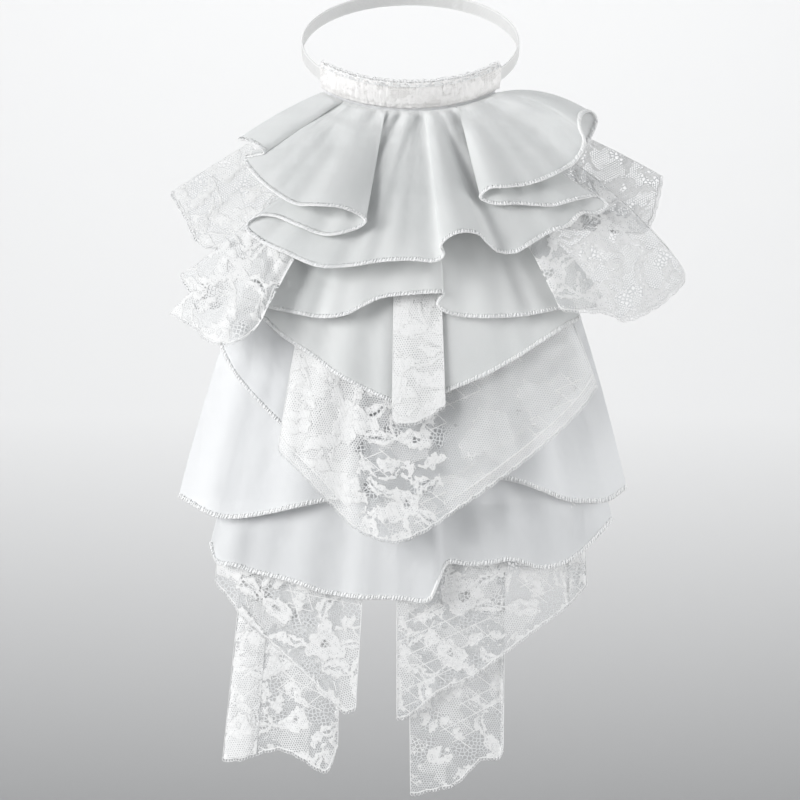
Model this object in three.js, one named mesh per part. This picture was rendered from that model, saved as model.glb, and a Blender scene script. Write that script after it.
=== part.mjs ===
// Ruffled jabot collar, held up as a neck holds it. Millimetres, +Z up, the front faces -Y.
// The origin is the centre of the neck opening. Every cloth layer is a thin wall that hangs in
// one common curve, each layer in front of the one that it is sewn on.
import * as THREE from "three";

// Neck opening and band
const NECK_HALF_WIDTH = 70;
const NECK_HALF_DEPTH = 60;
const NECK_TILT = THREE.MathUtils.degToRad(34);
const BAND_HALF_LENGTH = 57;
const BAND_HEIGHT = 20;
const BAND_THICKNESS = 5;
const BAND_GATHERS = 22;
const GATHER_DEPTH = 0.5;
const STRAP_WIDTH = 10;
const STRAP_THICKNESS = 1.2;
const STRAP_STATIONS = 56;
const TOUCH_GAP = 0.3;

// The band's section. out: share of its thickness. up: share of half its height. swells: 1 where
// the gathers show.
const BAND_SECTION = [
  { out: 0, up: -1, swells: 0 },
  { out: 1, up: -1, swells: 0 },
  { out: 1, up: -0.5, swells: 1 },
  { out: 1, up: 0.5, swells: 1 },
  { out: 0.7, up: 1, swells: 0 },
  { out: 0.2, up: 1, swells: 0 },
  { out: 0, up: 0.8, swells: 0 },
];

// Cloth
const CLOTH_THICKNESS = 1.0;
const SEAM_CLEARANCE = 0.8;
const INNER_SEAM_OUT = 1;
const OUTER_SEAM_OUT = 4;
const LAYER_PITCH = 1.5;
const NECK_PITCH_GAIN = 0.9;
const EARLY_LIFT = 8;
const WIDEST_COLUMN = 24;
const WIDEST_ROW = 24;
const SIDE_WRAP = 0.0018;
const NECK_FADE = 25;
const SIDE_FLARE = 0.6;
const FOLD_GROWTH = 0.8;
const TOP_FOLD_GROWTH = 0.7;
const FEWEST_ROWS = 3;

// The curve that the collar hangs in: how far forward its innermost layer stands at each height.
const DRAPE = [
  { z: 0, y: -40 },
  { z: -43, y: -45 },
  { z: -75, y: -56 },
  { z: -110, y: -71 },
  { z: -145, y: -84 },
  { z: -180, y: -93 },
  { z: -220, y: -97 },
  { z: -270, y: -96 },
  { z: -320, y: -93 },
  { z: -380, y: -89 },
  { z: -500, y: -84 },
];

// The layers from the body outwards. seam: height of the sewn top edge, or drop below the band.
// foldsFrom and foldsTo: heights between which its folds grow. reach: how far its folds stand out.
const LAYERS = [
  { name: "long_ruffle", drop: 0, foldsFrom: -302, foldsTo: -365, reach: 7 },
  { name: "wide_ruffle", seam: -75, foldsFrom: -75, foldsTo: -312, reach: 9 },
  { name: "v_under_ruffle", seam: -81, foldsFrom: -81, foldsTo: -299, reach: 4 },
  { name: "v_lace", seam: -87, foldsFrom: -87, foldsTo: -323, reach: 4.5 },
  { name: "v_ruffle", seam: -93, foldsFrom: -93, foldsTo: -237, reach: 4 },
  { name: "centre_lace_tab", seam: -98, foldsFrom: -98, foldsTo: -247, reach: 2 },
  { name: "short_ruffle", seam: -103, foldsFrom: -103, foldsTo: -180, reach: 9 },
  { name: "upper_lace", drop: 7, foldsFrom: -50, foldsTo: -134, reach: 5 },
  { name: "side_lace", drop: 21, foldsFrom: -55, foldsTo: -195, reach: 9 },
  { name: "top_ruffle", drop: 0.3, foldsFrom: -60, foldsTo: -147, reach: 25 },
];

// Hems, a row for each fold from -X to +X, or along the strip where it is folded back and forth.
// seam: sideways place where the fold leaves the top edge. x, z: its place on the hem. out: how
// far it stands in front of the layer below. arch: how far its line rises above a straight one,
// half way down.
const TOP_RUFFLE = [
  { seam: -57, x: -114, z: -64, out: 20, arch: 2 },
  { seam: -50, x: -105, z: -66, out: 21, arch: 2 },
  { seam: -43, x: -96, z: -73, out: 19, arch: 0 },
  { seam: -42.5, x: -103, z: -75, out: 16, arch: 0 },
  { seam: -42, x: -110, z: -77, out: 13, arch: 0 },
  { seam: -39, x: -103, z: -87, out: 15, arch: 0 },
  { seam: -35, x: -93, z: -96, out: 17, arch: 2 },
  { seam: -29, x: -75, z: -107, out: 16, arch: 2 },
  { seam: -24, x: -60, z: -108, out: 18, arch: 2 },
  { seam: -19, x: -43, z: -110, out: 17, arch: 2 },
  { seam: -16, x: -29, z: -118, out: 15, arch: 0 },
  { seam: -15.2, x: -38, z: -124, out: 11.5, arch: 0 },
  { seam: -14.6, x: -55, z: -127, out: 9, arch: 0 },
  { seam: -14, x: -73, z: -121, out: 9, arch: 0 },
  { seam: -13.4, x: -88, z: -115, out: 8.5, arch: 0 },
  { seam: -12.8, x: -100, z: -115, out: 7.5, arch: 0 },
  { seam: -12.2, x: -107, z: -122, out: 5, arch: 0 },
  { seam: -11.5, x: -99, z: -130, out: 2.5, arch: 0 },
  { seam: -9, x: -82, z: -138, out: 3, arch: 0 },
  { seam: -5, x: -60, z: -147, out: 4, arch: 0 },
  { seam: -1, x: -40, z: -147, out: 3, arch: 0 },
  { seam: 3, x: -20, z: -144, out: 4, arch: 0 },
  { seam: 6, x: -1, z: -143, out: 3, arch: 0 },
  { seam: 8.5, x: 15, z: -144, out: 3, arch: 0 },
  { seam: 9, x: 21, z: -140, out: 7, arch: 0 },
  { seam: 9.5, x: 19, z: -134, out: 12, arch: 0 },
  { seam: 11, x: 25, z: -128, out: 15, arch: 0 },
  { seam: 13, x: 34, z: -125, out: 16, arch: 0 },
  { seam: 15.5, x: 44, z: -127, out: 14, arch: 0 },
  { seam: 17.5, x: 50, z: -133, out: 8, arch: 0 },
  { seam: 19, x: 57, z: -138, out: 3, arch: 0 },
  { seam: 21.5, x: 68, z: -138, out: 4, arch: 0 },
  { seam: 23.5, x: 80, z: -131, out: 5, arch: 0 },
  { seam: 25, x: 93, z: -124, out: 3.5, arch: 0 },
  { seam: 26, x: 103, z: -121, out: 3, arch: 0 },
  { seam: 26.6, x: 112, z: -113, out: 4, arch: 0 },
  { seam: 27.1, x: 122, z: -113, out: 5, arch: 0 },
  { seam: 27.6, x: 129, z: -108, out: 7, arch: 0 },
  { seam: 28, x: 122, z: -102, out: 9.5, arch: 0 },
  { seam: 28.3, x: 108, z: -104, out: 10.5, arch: 0 },
  { seam: 28.6, x: 92, z: -108, out: 10, arch: 0 },
  { seam: 28.9, x: 70, z: -107, out: 10, arch: 0 },
  { seam: 29.3, x: 54, z: -107, out: 11, arch: 0 },
  { seam: 29.8, x: 45, z: -103, out: 13.5, arch: 0 },
  { seam: 31, x: 51, z: -97, out: 16.5, arch: 0 },
  { seam: 33, x: 62, z: -96, out: 17.5, arch: 2 },
  { seam: 37, x: 77, z: -94, out: 16, arch: 3 },
  { seam: 42, x: 93, z: -88, out: 18, arch: 4 },
  { seam: 46, x: 107, z: -80, out: 17, arch: 5 },
  { seam: 49, x: 113, z: -72, out: 18, arch: 6 },
  { seam: 50.5, x: 115, z: -65, out: 20, arch: 6 },
  { seam: 52, x: 112, z: -56, out: 21, arch: 7 },
  { seam: 53.5, x: 113, z: -48, out: 19, arch: 7 },
  { seam: 54.8, x: 119, z: -45, out: 14, arch: 7 },
  { seam: 55.7, x: 124, z: -50, out: 9, arch: 6 },
  { seam: 56.4, x: 121, z: -60, out: 6, arch: 4 },
  { seam: 57, x: 116, z: -68, out: 5, arch: 2 },
];

const SIDE_LACE = [
  { seam: -53, x: -149, z: -152, out: 2, arch: -10 },
  { seam: -52, x: -143, z: -162, out: 1.5, arch: -8 },
  { seam: -50.7, x: -129, z: -169, out: 2, arch: -6 },
  { seam: -50, x: -122, z: -172, out: 3.5, arch: -5 },
  { seam: -49, x: -137, z: -173, out: 5, arch: -5 },
  { seam: -47.5, x: -155, z: -176, out: 7, arch: -5 },
  { seam: -45, x: -147, z: -181, out: 9, arch: -4 },
  { seam: -42, x: -137, z: -187, out: 8, arch: -2 },
  { seam: -39, x: -130, z: -194, out: 8, arch: 0 },
  { seam: -36, x: -114, z: -195, out: 9, arch: 0 },
  { seam: -32, x: -97, z: -183, out: 8, arch: 0 },
  { seam: -29, x: -88, z: -161, out: 7, arch: 0 },
  { seam: -26, x: -81, z: -139, out: 5, arch: 0 },
  { seam: -22, x: -70, z: -126, out: 3, arch: 0 },
  { seam: -12, x: -40, z: -121, out: 2, arch: 0 },
  { seam: 0, x: 0, z: -120, out: 2, arch: 0 },
  { seam: 18, x: 45, z: -121, out: 2, arch: 0 },
  { seam: 26, x: 68, z: -126, out: 3, arch: 0 },
  { seam: 30, x: 78, z: -138, out: 4, arch: 0 },
  { seam: 34, x: 89, z: -157, out: 5, arch: 2 },
  { seam: 37, x: 96, z: -173, out: 6, arch: 4 },
  { seam: 41, x: 110, z: -175, out: 8, arch: 8 },
  { seam: 44, x: 125, z: -176, out: 6, arch: 12 },
  { seam: 47, x: 138, z: -181, out: 8, arch: 14 },
  { seam: 50, x: 156, z: -174, out: 6, arch: 17 },
  { seam: 51.3, x: 167, z: -167, out: 4, arch: 17 },
  { seam: 51.8, x: 179, z: -153, out: 4, arch: 15 },
  { seam: 52.2, x: 168, z: -134, out: 4, arch: 13 },
];

const UPPER_LACE = [
  { seam: -57, x: -158, z: -98, out: 2, arch: 2 },
  { seam: -53, x: -147, z: -115, out: 3, arch: 1 },
  { seam: -49, x: -137, z: -132, out: 2, arch: 0 },
  { seam: -43, x: -120, z: -134, out: 3, arch: 0 },
  { seam: -34, x: -98, z: -129, out: 4, arch: 0 },
  { seam: -20, x: -59, z: -121, out: 2, arch: 0 },
  { seam: 0, x: 0, z: -116, out: 2, arch: 0 },
  { seam: 20, x: 58, z: -119, out: 3, arch: 0 },
  { seam: 38, x: 110, z: -122, out: 2, arch: 0 },
  { seam: 47, x: 149, z: -125, out: 3, arch: 0 },
  { seam: 51, x: 157, z: -119, out: 2, arch: 1 },
  { seam: 54, x: 163, z: -103, out: 3, arch: 2 },
  { seam: 57, x: 167, z: -87, out: 2, arch: 3 },
];

const SHORT_RUFFLE = [
  { seam: -45, x: -111, z: -168, out: 2, arch: 0 },
  { seam: -41, x: -96, z: -173, out: 3, arch: 0 },
  { seam: -34, x: -76, z: -177, out: 5, arch: 0 },
  { seam: -27, x: -58, z: -180, out: 5, arch: 0 },
  { seam: -19, x: -42, z: -178, out: 7, arch: 0 },
  { seam: -12, x: -30, z: -172, out: 8, arch: 0 },
  { seam: -6, x: -18, z: -167, out: 8, arch: 0 },
  { seam: 4, x: -1, z: -165, out: 8, arch: 0 },
  { seam: 14, x: 16, z: -164, out: 9, arch: 0 },
  { seam: 17, x: 21, z: -165, out: 6.5, arch: 0 },
  { seam: 18, x: 17, z: -172, out: 3.5, arch: 0 },
  { seam: 19, x: 26, z: -178, out: 1, arch: 0 },
  { seam: 26, x: 46, z: -180, out: 0.5, arch: 0 },
  { seam: 32, x: 72, z: -179, out: 2, arch: 0 },
  { seam: 38, x: 96, z: -175, out: 3, arch: 0 },
  { seam: 42, x: 116, z: -174, out: 3, arch: 0 },
  { seam: 45, x: 129, z: -171, out: 2, arch: 0 },
];

const CENTRE_LACE_TAB = [
  { seam: -10, x: -12, z: -246, out: 1, arch: 0 },
  { seam: -1, x: 0, z: -247, out: 2, arch: 0 },
  { seam: 8, x: 12, z: -242, out: 1, arch: 0 },
  { seam: 17, x: 22, z: -235, out: 2, arch: 0 },
];

const V_RUFFLE = [
  { seam: -42, x: -103, z: -174, out: 1, arch: 0 },
  { seam: -39, x: -97, z: -180, out: 2, arch: 0 },
  { seam: -33, x: -82, z: -193, out: 4, arch: 0 },
  { seam: -26, x: -65, z: -204, out: 2, arch: 0 },
  { seam: -19, x: -47, z: -217, out: 4, arch: 0 },
  { seam: -10, x: -26, z: -228, out: 3, arch: 0 },
  { seam: -3, x: -8, z: -235, out: 2, arch: 0 },
  { seam: 3, x: 6, z: -237, out: 2, arch: 0 },
  { seam: 10, x: 22, z: -228, out: 3, arch: 0 },
  { seam: 19, x: 46, z: -218, out: 4, arch: 0 },
  { seam: 26, x: 67, z: -207, out: 2, arch: 0 },
  { seam: 33, x: 86, z: -195, out: 4, arch: 0 },
  { seam: 39, x: 101, z: -186, out: 2, arch: 0 },
  { seam: 42, x: 111, z: -181, out: 1, arch: 0 },
];

const V_LACE = [
  { seam: -40, x: -86, z: -265, out: 1, arch: 0 },
  { seam: -31, x: -69, z: -281, out: 4, arch: 0 },
  { seam: -22, x: -49, z: -302, out: 2, arch: 0 },
  { seam: -14, x: -33, z: -316, out: 4, arch: 0 },
  { seam: -5, x: -10, z: -323, out: 4.5, arch: 0 },
  { seam: 4, x: 9, z: -316, out: 3, arch: 0 },
  { seam: 11, x: 26, z: -305, out: 2, arch: 0 },
  { seam: 20, x: 52, z: -287, out: 4, arch: 0 },
  { seam: 29, x: 84, z: -263, out: 2, arch: 0 },
  { seam: 36, x: 110, z: -239, out: 3, arch: 0 },
  { seam: 40, x: 121, z: -224, out: 1, arch: 0 },
];

const V_UNDER_RUFFLE = [
  { seam: -42, x: -125, z: -198, out: 1, arch: 0 },
  { seam: -38, x: -117, z: -214, out: 3, arch: 0 },
  { seam: -33, x: -105, z: -229, out: 4, arch: 0 },
  { seam: -26, x: -83, z: -251, out: 2, arch: 0 },
  { seam: -21, x: -68, z: -263, out: 3, arch: 0 },
  { seam: -12, x: -40, z: -283, out: 2, arch: 0 },
  { seam: -3, x: -7, z: -299, out: 4, arch: 0 },
  { seam: 9, x: 25, z: -285, out: 2, arch: 0 },
  { seam: 23, x: 71, z: -255, out: 4, arch: 0 },
  { seam: 34, x: 103, z: -231, out: 2, arch: 0 },
  { seam: 41, x: 116, z: -216, out: 1, arch: 0 },
];

const WIDE_RUFFLE = [
  { seam: -54, x: -153, z: -299, out: 6, arch: 0 },
  { seam: -49, x: -136, z: -308, out: 9, arch: 0 },
  { seam: -44, x: -123, z: -312, out: 5, arch: 0 },
  { seam: -38, x: -107, z: -311, out: 3, arch: 0 },
  { seam: -32, x: -92, z: -308, out: 6, arch: 0 },
  { seam: -25, x: -72, z: -303, out: 9, arch: 0 },
  { seam: -18, x: -52, z: -299, out: 4, arch: 0 },
  { seam: -9, x: -27, z: -294, out: 2, arch: 0 },
  { seam: 0, x: 0, z: -290, out: 3, arch: 0 },
  { seam: 9, x: 25, z: -287, out: 2, arch: 0 },
  { seam: 18, x: 51, z: -285, out: 3, arch: 0 },
  { seam: 25, x: 68, z: -287, out: 6, arch: 0 },
  { seam: 32, x: 85, z: -293, out: 9, arch: 0 },
  { seam: 39, x: 101, z: -300, out: 5, arch: 0 },
  { seam: 45, x: 116, z: -302, out: 3, arch: 0 },
  { seam: 50, x: 130, z: -301, out: 5, arch: 0 },
  { seam: 54, x: 142, z: -293, out: 8, arch: 0 },
];

const LONG_RUFFLE = [
  { seam: -57, x: -132, z: -330, out: 3, arch: 0 },
  { seam: -53, x: -128, z: -342, out: 4, arch: 0 },
  { seam: -48, x: -116, z: -344, out: 7, arch: 0 },
  { seam: -42, x: -103, z: -348, out: 3, arch: 0 },
  { seam: -32, x: -75, z: -354, out: 5, arch: 0 },
  { seam: -24, x: -58, z: -360, out: 2, arch: 0 },
  { seam: -15, x: -35, z: -363, out: 5, arch: 0 },
  { seam: -3, x: -7, z: -364, out: 3, arch: 0 },
  { seam: 3, x: 11, z: -365, out: 6, arch: 0 },
  { seam: 7, x: 18, z: -352, out: 7, arch: 0 },
  { seam: 11, x: 24, z: -341, out: 3, arch: 0 },
  { seam: 17, x: 38, z: -342, out: 1, arch: 0 },
  { seam: 23, x: 52, z: -341, out: 4, arch: 0 },
  { seam: 28, x: 66, z: -339, out: 6, arch: 0 },
  { seam: 35, x: 85, z: -345, out: 3, arch: 0 },
  { seam: 41, x: 101, z: -342, out: 5, arch: 0 },
  { seam: 47, x: 114, z: -334, out: 3, arch: 0 },
  { seam: 52, x: 126, z: -322, out: 5, arch: 0 },
  { seam: 57, x: 133, z: -314, out: 3, arch: 0 },
];

// The lace below the long ruffle, sewn to its back. Here out counts towards the body.
const TAIL_SEAM = -302;
const LEFT_WIDE_LACE = [
  { seam: -124, x: -129, z: -355, out: 2, arch: 0 },
  { seam: -114, x: -119, z: -366, out: 3, arch: 0 },
  { seam: -104, x: -110, z: -378, out: 2, arch: 0 },
  { seam: -84, x: -88, z: -397, out: 3, arch: 0 },
  { seam: -62, x: -66, z: -417, out: 2, arch: 0 },
  { seam: -40, x: -44, z: -438, out: 3, arch: 0 },
  { seam: -28, x: -36, z: -436, out: 2, arch: 0 },
];
const RIGHT_WIDE_LACE = [
  { seam: -9, x: -9, z: -443, out: 2, arch: 0 },
  { seam: 1, x: 1, z: -439, out: 3, arch: 0 },
  { seam: 19, x: 19, z: -424, out: 2, arch: 0 },
  { seam: 40, x: 40, z: -415, out: 3, arch: 0 },
  { seam: 61, x: 61, z: -400, out: 2, arch: 0 },
  { seam: 83, x: 83, z: -384, out: 3, arch: 0 },
  { seam: 98, x: 100, z: -372, out: 2, arch: 0 },
  { seam: 107, x: 109, z: -364, out: 3, arch: 0 },
  { seam: 114, x: 116, z: -356, out: 2, arch: 0 },
];
const LEFT_LONG_TAIL = [
  { seam: -106, x: -125, z: -475, out: 8, arch: 0 },
  { seam: -95, x: -111, z: -473, out: 6, arch: 0 },
  { seam: -84, x: -97, z: -468, out: 8, arch: 0 },
  { seam: -74, x: -85, z: -466, out: 9, arch: 0 },
  { seam: -64, x: -74, z: -470, out: 7, arch: 0 },
  { seam: -52, x: -56, z: -479, out: 6, arch: 0 },
  { seam: -44, x: -48, z: -462, out: 7, arch: 0 },
];
const RIGHT_LONG_TAIL = [
  { seam: -2, x: 0, z: -494, out: 7, arch: 0 },
  { seam: 14, x: 15, z: -491, out: 8, arch: 0 },
  { seam: 28, x: 29, z: -487, out: 6, arch: 0 },
  { seam: 37, x: 37, z: -480, out: 7, arch: 0 },
  { seam: 48, x: 47, z: -471, out: 9, arch: 0 },
  { seam: 57, x: 57, z: -471, out: 8, arch: 0 },
  { seam: 62, x: 61, z: -465, out: 6, arch: 0 },
];

const chiffon = () => new THREE.MeshStandardMaterial({ color: 0xf2f4f4, roughness: 0.65, metalness: 0 });
const lace = () => new THREE.MeshStandardMaterial({ color: 0xfafaf8, roughness: 0.8, metalness: 0 });
const elastic = () => new THREE.MeshStandardMaterial({ color: 0xf4f4f2, roughness: 0.7, metalness: 0 });

const clamp01 = (value) => Math.min(1, Math.max(0, value));
const smooth = (value) => clamp01(value) ** 2 * (3 - 2 * clamp01(value));

// Value between two rows, on a smooth curve whose slopes come from the rows on either side.
function hermite(before, from, to, after, gaps, share) {
  const slopeFrom = ((to - before) / (gaps[0] + gaps[1])) * gaps[1];
  const slopeTo = ((after - from) / (gaps[1] + gaps[2])) * gaps[1];
  const cube = share ** 3;
  const square = share ** 2;
  return (2 * cube - 3 * square + 1) * from + (cube - 2 * square + share) * slopeFrom
    + (3 * square - 2 * cube) * to + (cube - square) * slopeTo;
}

// How far forward the innermost layer stands, between the rows of its table.
function drapeAt(z) {
  const last = DRAPE.length - 1;
  let index = 0;
  while (index < last - 1 && DRAPE[index + 1].z > z) {
    index += 1;
  }
  const row = (offset) => DRAPE[Math.min(last, Math.max(0, index + offset))];
  const gaps = [-1, 0, 1].map((offset) => Math.max(1, row(offset).z - row(offset + 1).z));
  const share = clamp01((row(0).z - z) / gaps[1]);
  return hermite(row(-1).y, row(0).y, row(1).y, row(2).y, gaps, share);
}

// A point of the neck opening: angle from the front, distance outwards, distance up the neck.
function neckPoint(angle, outwards, up) {
  const normal = new THREE.Vector2(NECK_HALF_DEPTH * Math.sin(angle), -NECK_HALF_WIDTH * Math.cos(angle));
  normal.normalize();
  const x = NECK_HALF_WIDTH * Math.sin(angle) + outwards * normal.x;
  const back = -NECK_HALF_DEPTH * Math.cos(angle) + outwards * normal.y;
  return new THREE.Vector3(
    x,
    back * Math.cos(NECK_TILT) - up * Math.sin(NECK_TILT),
    back * Math.sin(NECK_TILT) + up * Math.cos(NECK_TILT),
  );
}

const angleAt = (x) => Math.asin(Math.min(BAND_HALF_LENGTH, Math.abs(x)) / NECK_HALF_WIDTH) * Math.sign(x);

// The lower edge of the band above a sideways place.
const bandUnderside = (x, outwards) => neckPoint(angleAt(x), outwards, -BAND_HEIGHT / 2 - TOUCH_GAP);

// The surface that the innermost layer lies in: the drape curve, drawn in to the band at the top.
function formAt(x, z) {
  const flat = (sideways, height) => drapeAt(height) + SIDE_WRAP * sideways ** 2;
  const edge = bandUnderside(x, INNER_SEAM_OUT);
  const inner = Math.min(BAND_HALF_LENGTH, Math.abs(x));
  const below = Math.max(0, edge.z - z);
  return flat(x, z) + (edge.y - flat(inner, edge.z)) * Math.exp(-below / NECK_FADE);
}

const seamHeight = (layer, x) => layer.seam ?? bandUnderside(x, INNER_SEAM_OUT).z - layer.drop;
const growth = (layer, z) => clamp01((layer.foldsFrom - z) / (layer.foldsFrom - layer.foldsTo)) ** FOLD_GROWTH;

// How far the layers behind this one hold it off the form.
function stackBehind(layerIndex, x, z) {
  const below = Math.max(0, bandUnderside(x, INNER_SEAM_OUT).z - z);
  const pitch = LAYER_PITCH * (1 + NECK_PITCH_GAIN * Math.exp(-below / NECK_FADE));
  let total = 0;
  for (const layer of LAYERS.slice(0, layerIndex)) {
    const begun = smooth((seamHeight(layer, x) + EARLY_LIFT - z) / EARLY_LIFT);
    total += pitch * begun + layer.reach * growth(layer, z);
  }
  return total;
}

// Fills in columns between the rows of a hem, no wider than a set width.
function fillRows(rows, widest) {
  const filled = [];
  const names = Object.keys(rows[0]);
  const at = (index) => rows[Math.min(rows.length - 1, Math.max(0, index))];
  const apart = (index) => Math.hypot(at(index + 1).x - at(index).x, at(index + 1).z - at(index).z,
    at(index + 1).out - at(index).out);
  for (let index = 0; index < rows.length - 1; index += 1) {
    const gaps = [-1, 0, 1].map((offset) => Math.sqrt(Math.max(1, apart(index + offset))));
    const steps = Math.max(1, Math.ceil(apart(index) / widest));
    for (let step = 0; step < steps; step += 1) {
      const row = {};
      for (const name of names) {
        const values = [-1, 0, 1, 2].map((offset) => at(index + offset)[name]);
        row[name] = hermite(...values, gaps, step / steps);
      }
      filled.push(row);
    }
  }
  filled.push(rows[rows.length - 1]);
  return filled;
}

// A closed thin wall round a grid of middle points, half its thickness to either side.
function clothWall(grid, thickness) {
  const columns = grid.length;
  const rows = grid[0].length;
  const points = [];
  const tangent = new THREE.Vector3();
  const down = new THREE.Vector3();
  const normal = new THREE.Vector3();
  for (const side of [1, -1]) {
    for (let column = 0; column < columns; column += 1) {
      for (let row = 0; row < rows; row += 1) {
        tangent.subVectors(grid[Math.min(columns - 1, column + 1)][row], grid[Math.max(0, column - 1)][row]);
        down.subVectors(grid[column][Math.min(rows - 1, row + 1)], grid[column][Math.max(0, row - 1)]);
        normal.crossVectors(down, tangent).normalize();
        points.push(grid[column][row].clone().addScaledVector(normal, side * thickness / 2));
      }
    }
  }
  const triangles = [];
  const back = columns * rows;
  const quad = (a, b, c, d) => triangles.push(a, b, c, a, c, d);
  const place = (column, row) => column * rows + row;
  for (let column = 0; column < columns - 1; column += 1) {
    for (let row = 0; row < rows - 1; row += 1) {
      const corners = [place(column, row), place(column, row + 1), place(column + 1, row + 1),
        place(column + 1, row)];
      quad(...corners);
      quad(...corners.reverse().map((corner) => corner + back));
    }
    const top = [place(column, 0), place(column + 1, 0)];
    quad(top[0], top[1], top[1] + back, top[0] + back);
    const foot = [place(column, rows - 1), place(column + 1, rows - 1)];
    quad(foot[0], foot[0] + back, foot[1] + back, foot[1]);
  }
  for (let row = 0; row < rows - 1; row += 1) {
    const left = [place(0, row), place(0, row + 1)];
    quad(left[0], left[0] + back, left[1] + back, left[1]);
    const right = [place(columns - 1, row), place(columns - 1, row + 1)];
    quad(right[0], right[1], right[1] + back, right[0] + back);
  }
  return meshGeometry(points, triangles);
}

function meshGeometry(points, triangles) {
  const geometry = new THREE.BufferGeometry();
  geometry.setAttribute("position", new THREE.Float32BufferAttribute(points.flatMap((p) => p.toArray()), 3));
  geometry.setIndex(triangles);
  geometry.computeVertexNormals();
  return geometry;
}

// Grid of middle points of a hung layer. topPoint gives the top edge, depthAt the place in depth.
function hungGrid(hem, topPoint, flare, depthAt) {
  const columns = fillRows(hem, WIDEST_COLUMN);
  const longest = Math.max(...columns.map((fold) => topPoint(fold).distanceTo(new THREE.Vector3(fold.x,
    topPoint(fold).y, fold.z))));
  const rowCount = Math.max(FEWEST_ROWS, Math.ceil(longest / WIDEST_ROW));
  return columns.map((fold) => {
    const top = topPoint(fold);
    const line = [];
    for (let row = 0; row <= rowCount; row += 1) {
      const share = row / rowCount;
      const x = top.x + (fold.x - top.x) * share ** flare;
      const z = top.z + (fold.z - top.z) * share + fold.arch * 4 * share * (1 - share);
      line.push(new THREE.Vector3(x, depthAt(x, z, fold, share), z));
    }
    return line;
  });
}

// A layer in front of the body, sewn to the band or to the layer behind it.
function frontLayer(name, hem, flare) {
  const index = LAYERS.findIndex((layer) => layer.name === name);
  const layer = LAYERS[index];
  const outwards = name === "top_ruffle" ? OUTER_SEAM_OUT : INNER_SEAM_OUT;
  const topPoint = (fold) => {
    const edge = bandUnderside(fold.seam, outwards);
    return new THREE.Vector3(edge.x, edge.y, layer.seam ?? edge.z - layer.drop - SEAM_CLEARANCE);
  };
  const depthAt = (x, z, fold, share) => {
    const grown = name === "top_ruffle" ? share ** TOP_FOLD_GROWTH : growth(layer, z);
    return formAt(x, z) - stackBehind(index, x, z) - fold.out * grown;
  };
  return clothWall(hungGrid(hem, topPoint, flare, depthAt), CLOTH_THICKNESS);
}

// A lace layer sewn to the back of the long ruffle, order counted from front to back.
function tailLayer(hem, order) {
  const topPoint = (fold) => new THREE.Vector3(fold.seam, formAt(fold.seam, TAIL_SEAM), TAIL_SEAM);
  const depthAt = (x, z, fold, share) => formAt(x, z) + LAYER_PITCH * order * (1 + share) + fold.out * share;
  return clothWall(hungGrid(hem, topPoint, 1, depthAt), CLOTH_THICKNESS);
}

// A solid swept round the neck: section gives [outwards, up] points at each angle.
function neckSweep(fromAngle, toAngle, stations, section) {
  const points = [];
  const triangles = [];
  let corners = 0;
  for (let station = 0; station <= stations; station += 1) {
    const angle = fromAngle + ((toAngle - fromAngle) * station) / stations;
    const ring = section(station / stations);
    corners = ring.length;
    for (const [outwards, up] of ring) {
      points.push(neckPoint(angle, outwards, up));
    }
  }
  for (let station = 0; station < stations; station += 1) {
    for (let corner = 0; corner < corners; corner += 1) {
      const next = (corner + 1) % corners;
      const here = station * corners;
      triangles.push(here + corner, here + corners + corner, here + corners + next);
      triangles.push(here + corner, here + corners + next, here + next);
    }
  }
  const end = stations * corners;
  for (let corner = 1; corner < corners - 1; corner += 1) {
    triangles.push(0, corner, corner + 1);
    triangles.push(end, end + corner + 1, end + corner);
  }
  return meshGeometry(points, triangles);
}

// The gathered lace band: a soft rounded section whose front swells and sinks with the gathers.
function neckBand() {
  const stations = 2 * BAND_GATHERS;
  const section = (share) => {
    const swell = GATHER_DEPTH * Math.cos(share * stations * Math.PI);
    return BAND_SECTION.map((corner) => [
      corner.out * BAND_THICKNESS + corner.swells * swell,
      corner.up * BAND_HEIGHT / 2,
    ]);
  };
  const end = angleAt(BAND_HALF_LENGTH);
  return neckSweep(-end, end, stations, section);
}

function elasticStrap() {
  const middle = BAND_THICKNESS / 2;
  const section = () => [
    [middle - STRAP_THICKNESS / 2, -STRAP_WIDTH / 2],
    [middle + STRAP_THICKNESS / 2, -STRAP_WIDTH / 2],
    [middle + STRAP_THICKNESS / 2, STRAP_WIDTH / 2],
    [middle - STRAP_THICKNESS / 2, STRAP_WIDTH / 2],
  ];
  const end = angleAt(BAND_HALF_LENGTH) + TOUCH_GAP / NECK_HALF_DEPTH;
  return neckSweep(end, 2 * Math.PI - end, STRAP_STATIONS, section);
}

function add(name, geometry, material) {
  const mesh = new THREE.Mesh(geometry, material);
  mesh.name = name;
  collar.add(mesh);
}

const collar = new THREE.Group();
add("neck_band", neckBand(), lace());
add("elastic_strap", elasticStrap(), elastic());
add("long_ruffle", frontLayer("long_ruffle", LONG_RUFFLE, 1), chiffon());
add("wide_ruffle", frontLayer("wide_ruffle", WIDE_RUFFLE, SIDE_FLARE), chiffon());
add("v_under_ruffle", frontLayer("v_under_ruffle", V_UNDER_RUFFLE, SIDE_FLARE), chiffon());
add("v_lace", frontLayer("v_lace", V_LACE, SIDE_FLARE), lace());
add("v_ruffle", frontLayer("v_ruffle", V_RUFFLE, SIDE_FLARE), chiffon());
add("centre_lace_tab", frontLayer("centre_lace_tab", CENTRE_LACE_TAB, 1), lace());
add("short_ruffle", frontLayer("short_ruffle", SHORT_RUFFLE, SIDE_FLARE), chiffon());
add("upper_lace", frontLayer("upper_lace", UPPER_LACE, 1), lace());
add("side_lace", frontLayer("side_lace", SIDE_LACE, 1), lace());
add("top_ruffle", frontLayer("top_ruffle", TOP_RUFFLE, 1), chiffon());
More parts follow.
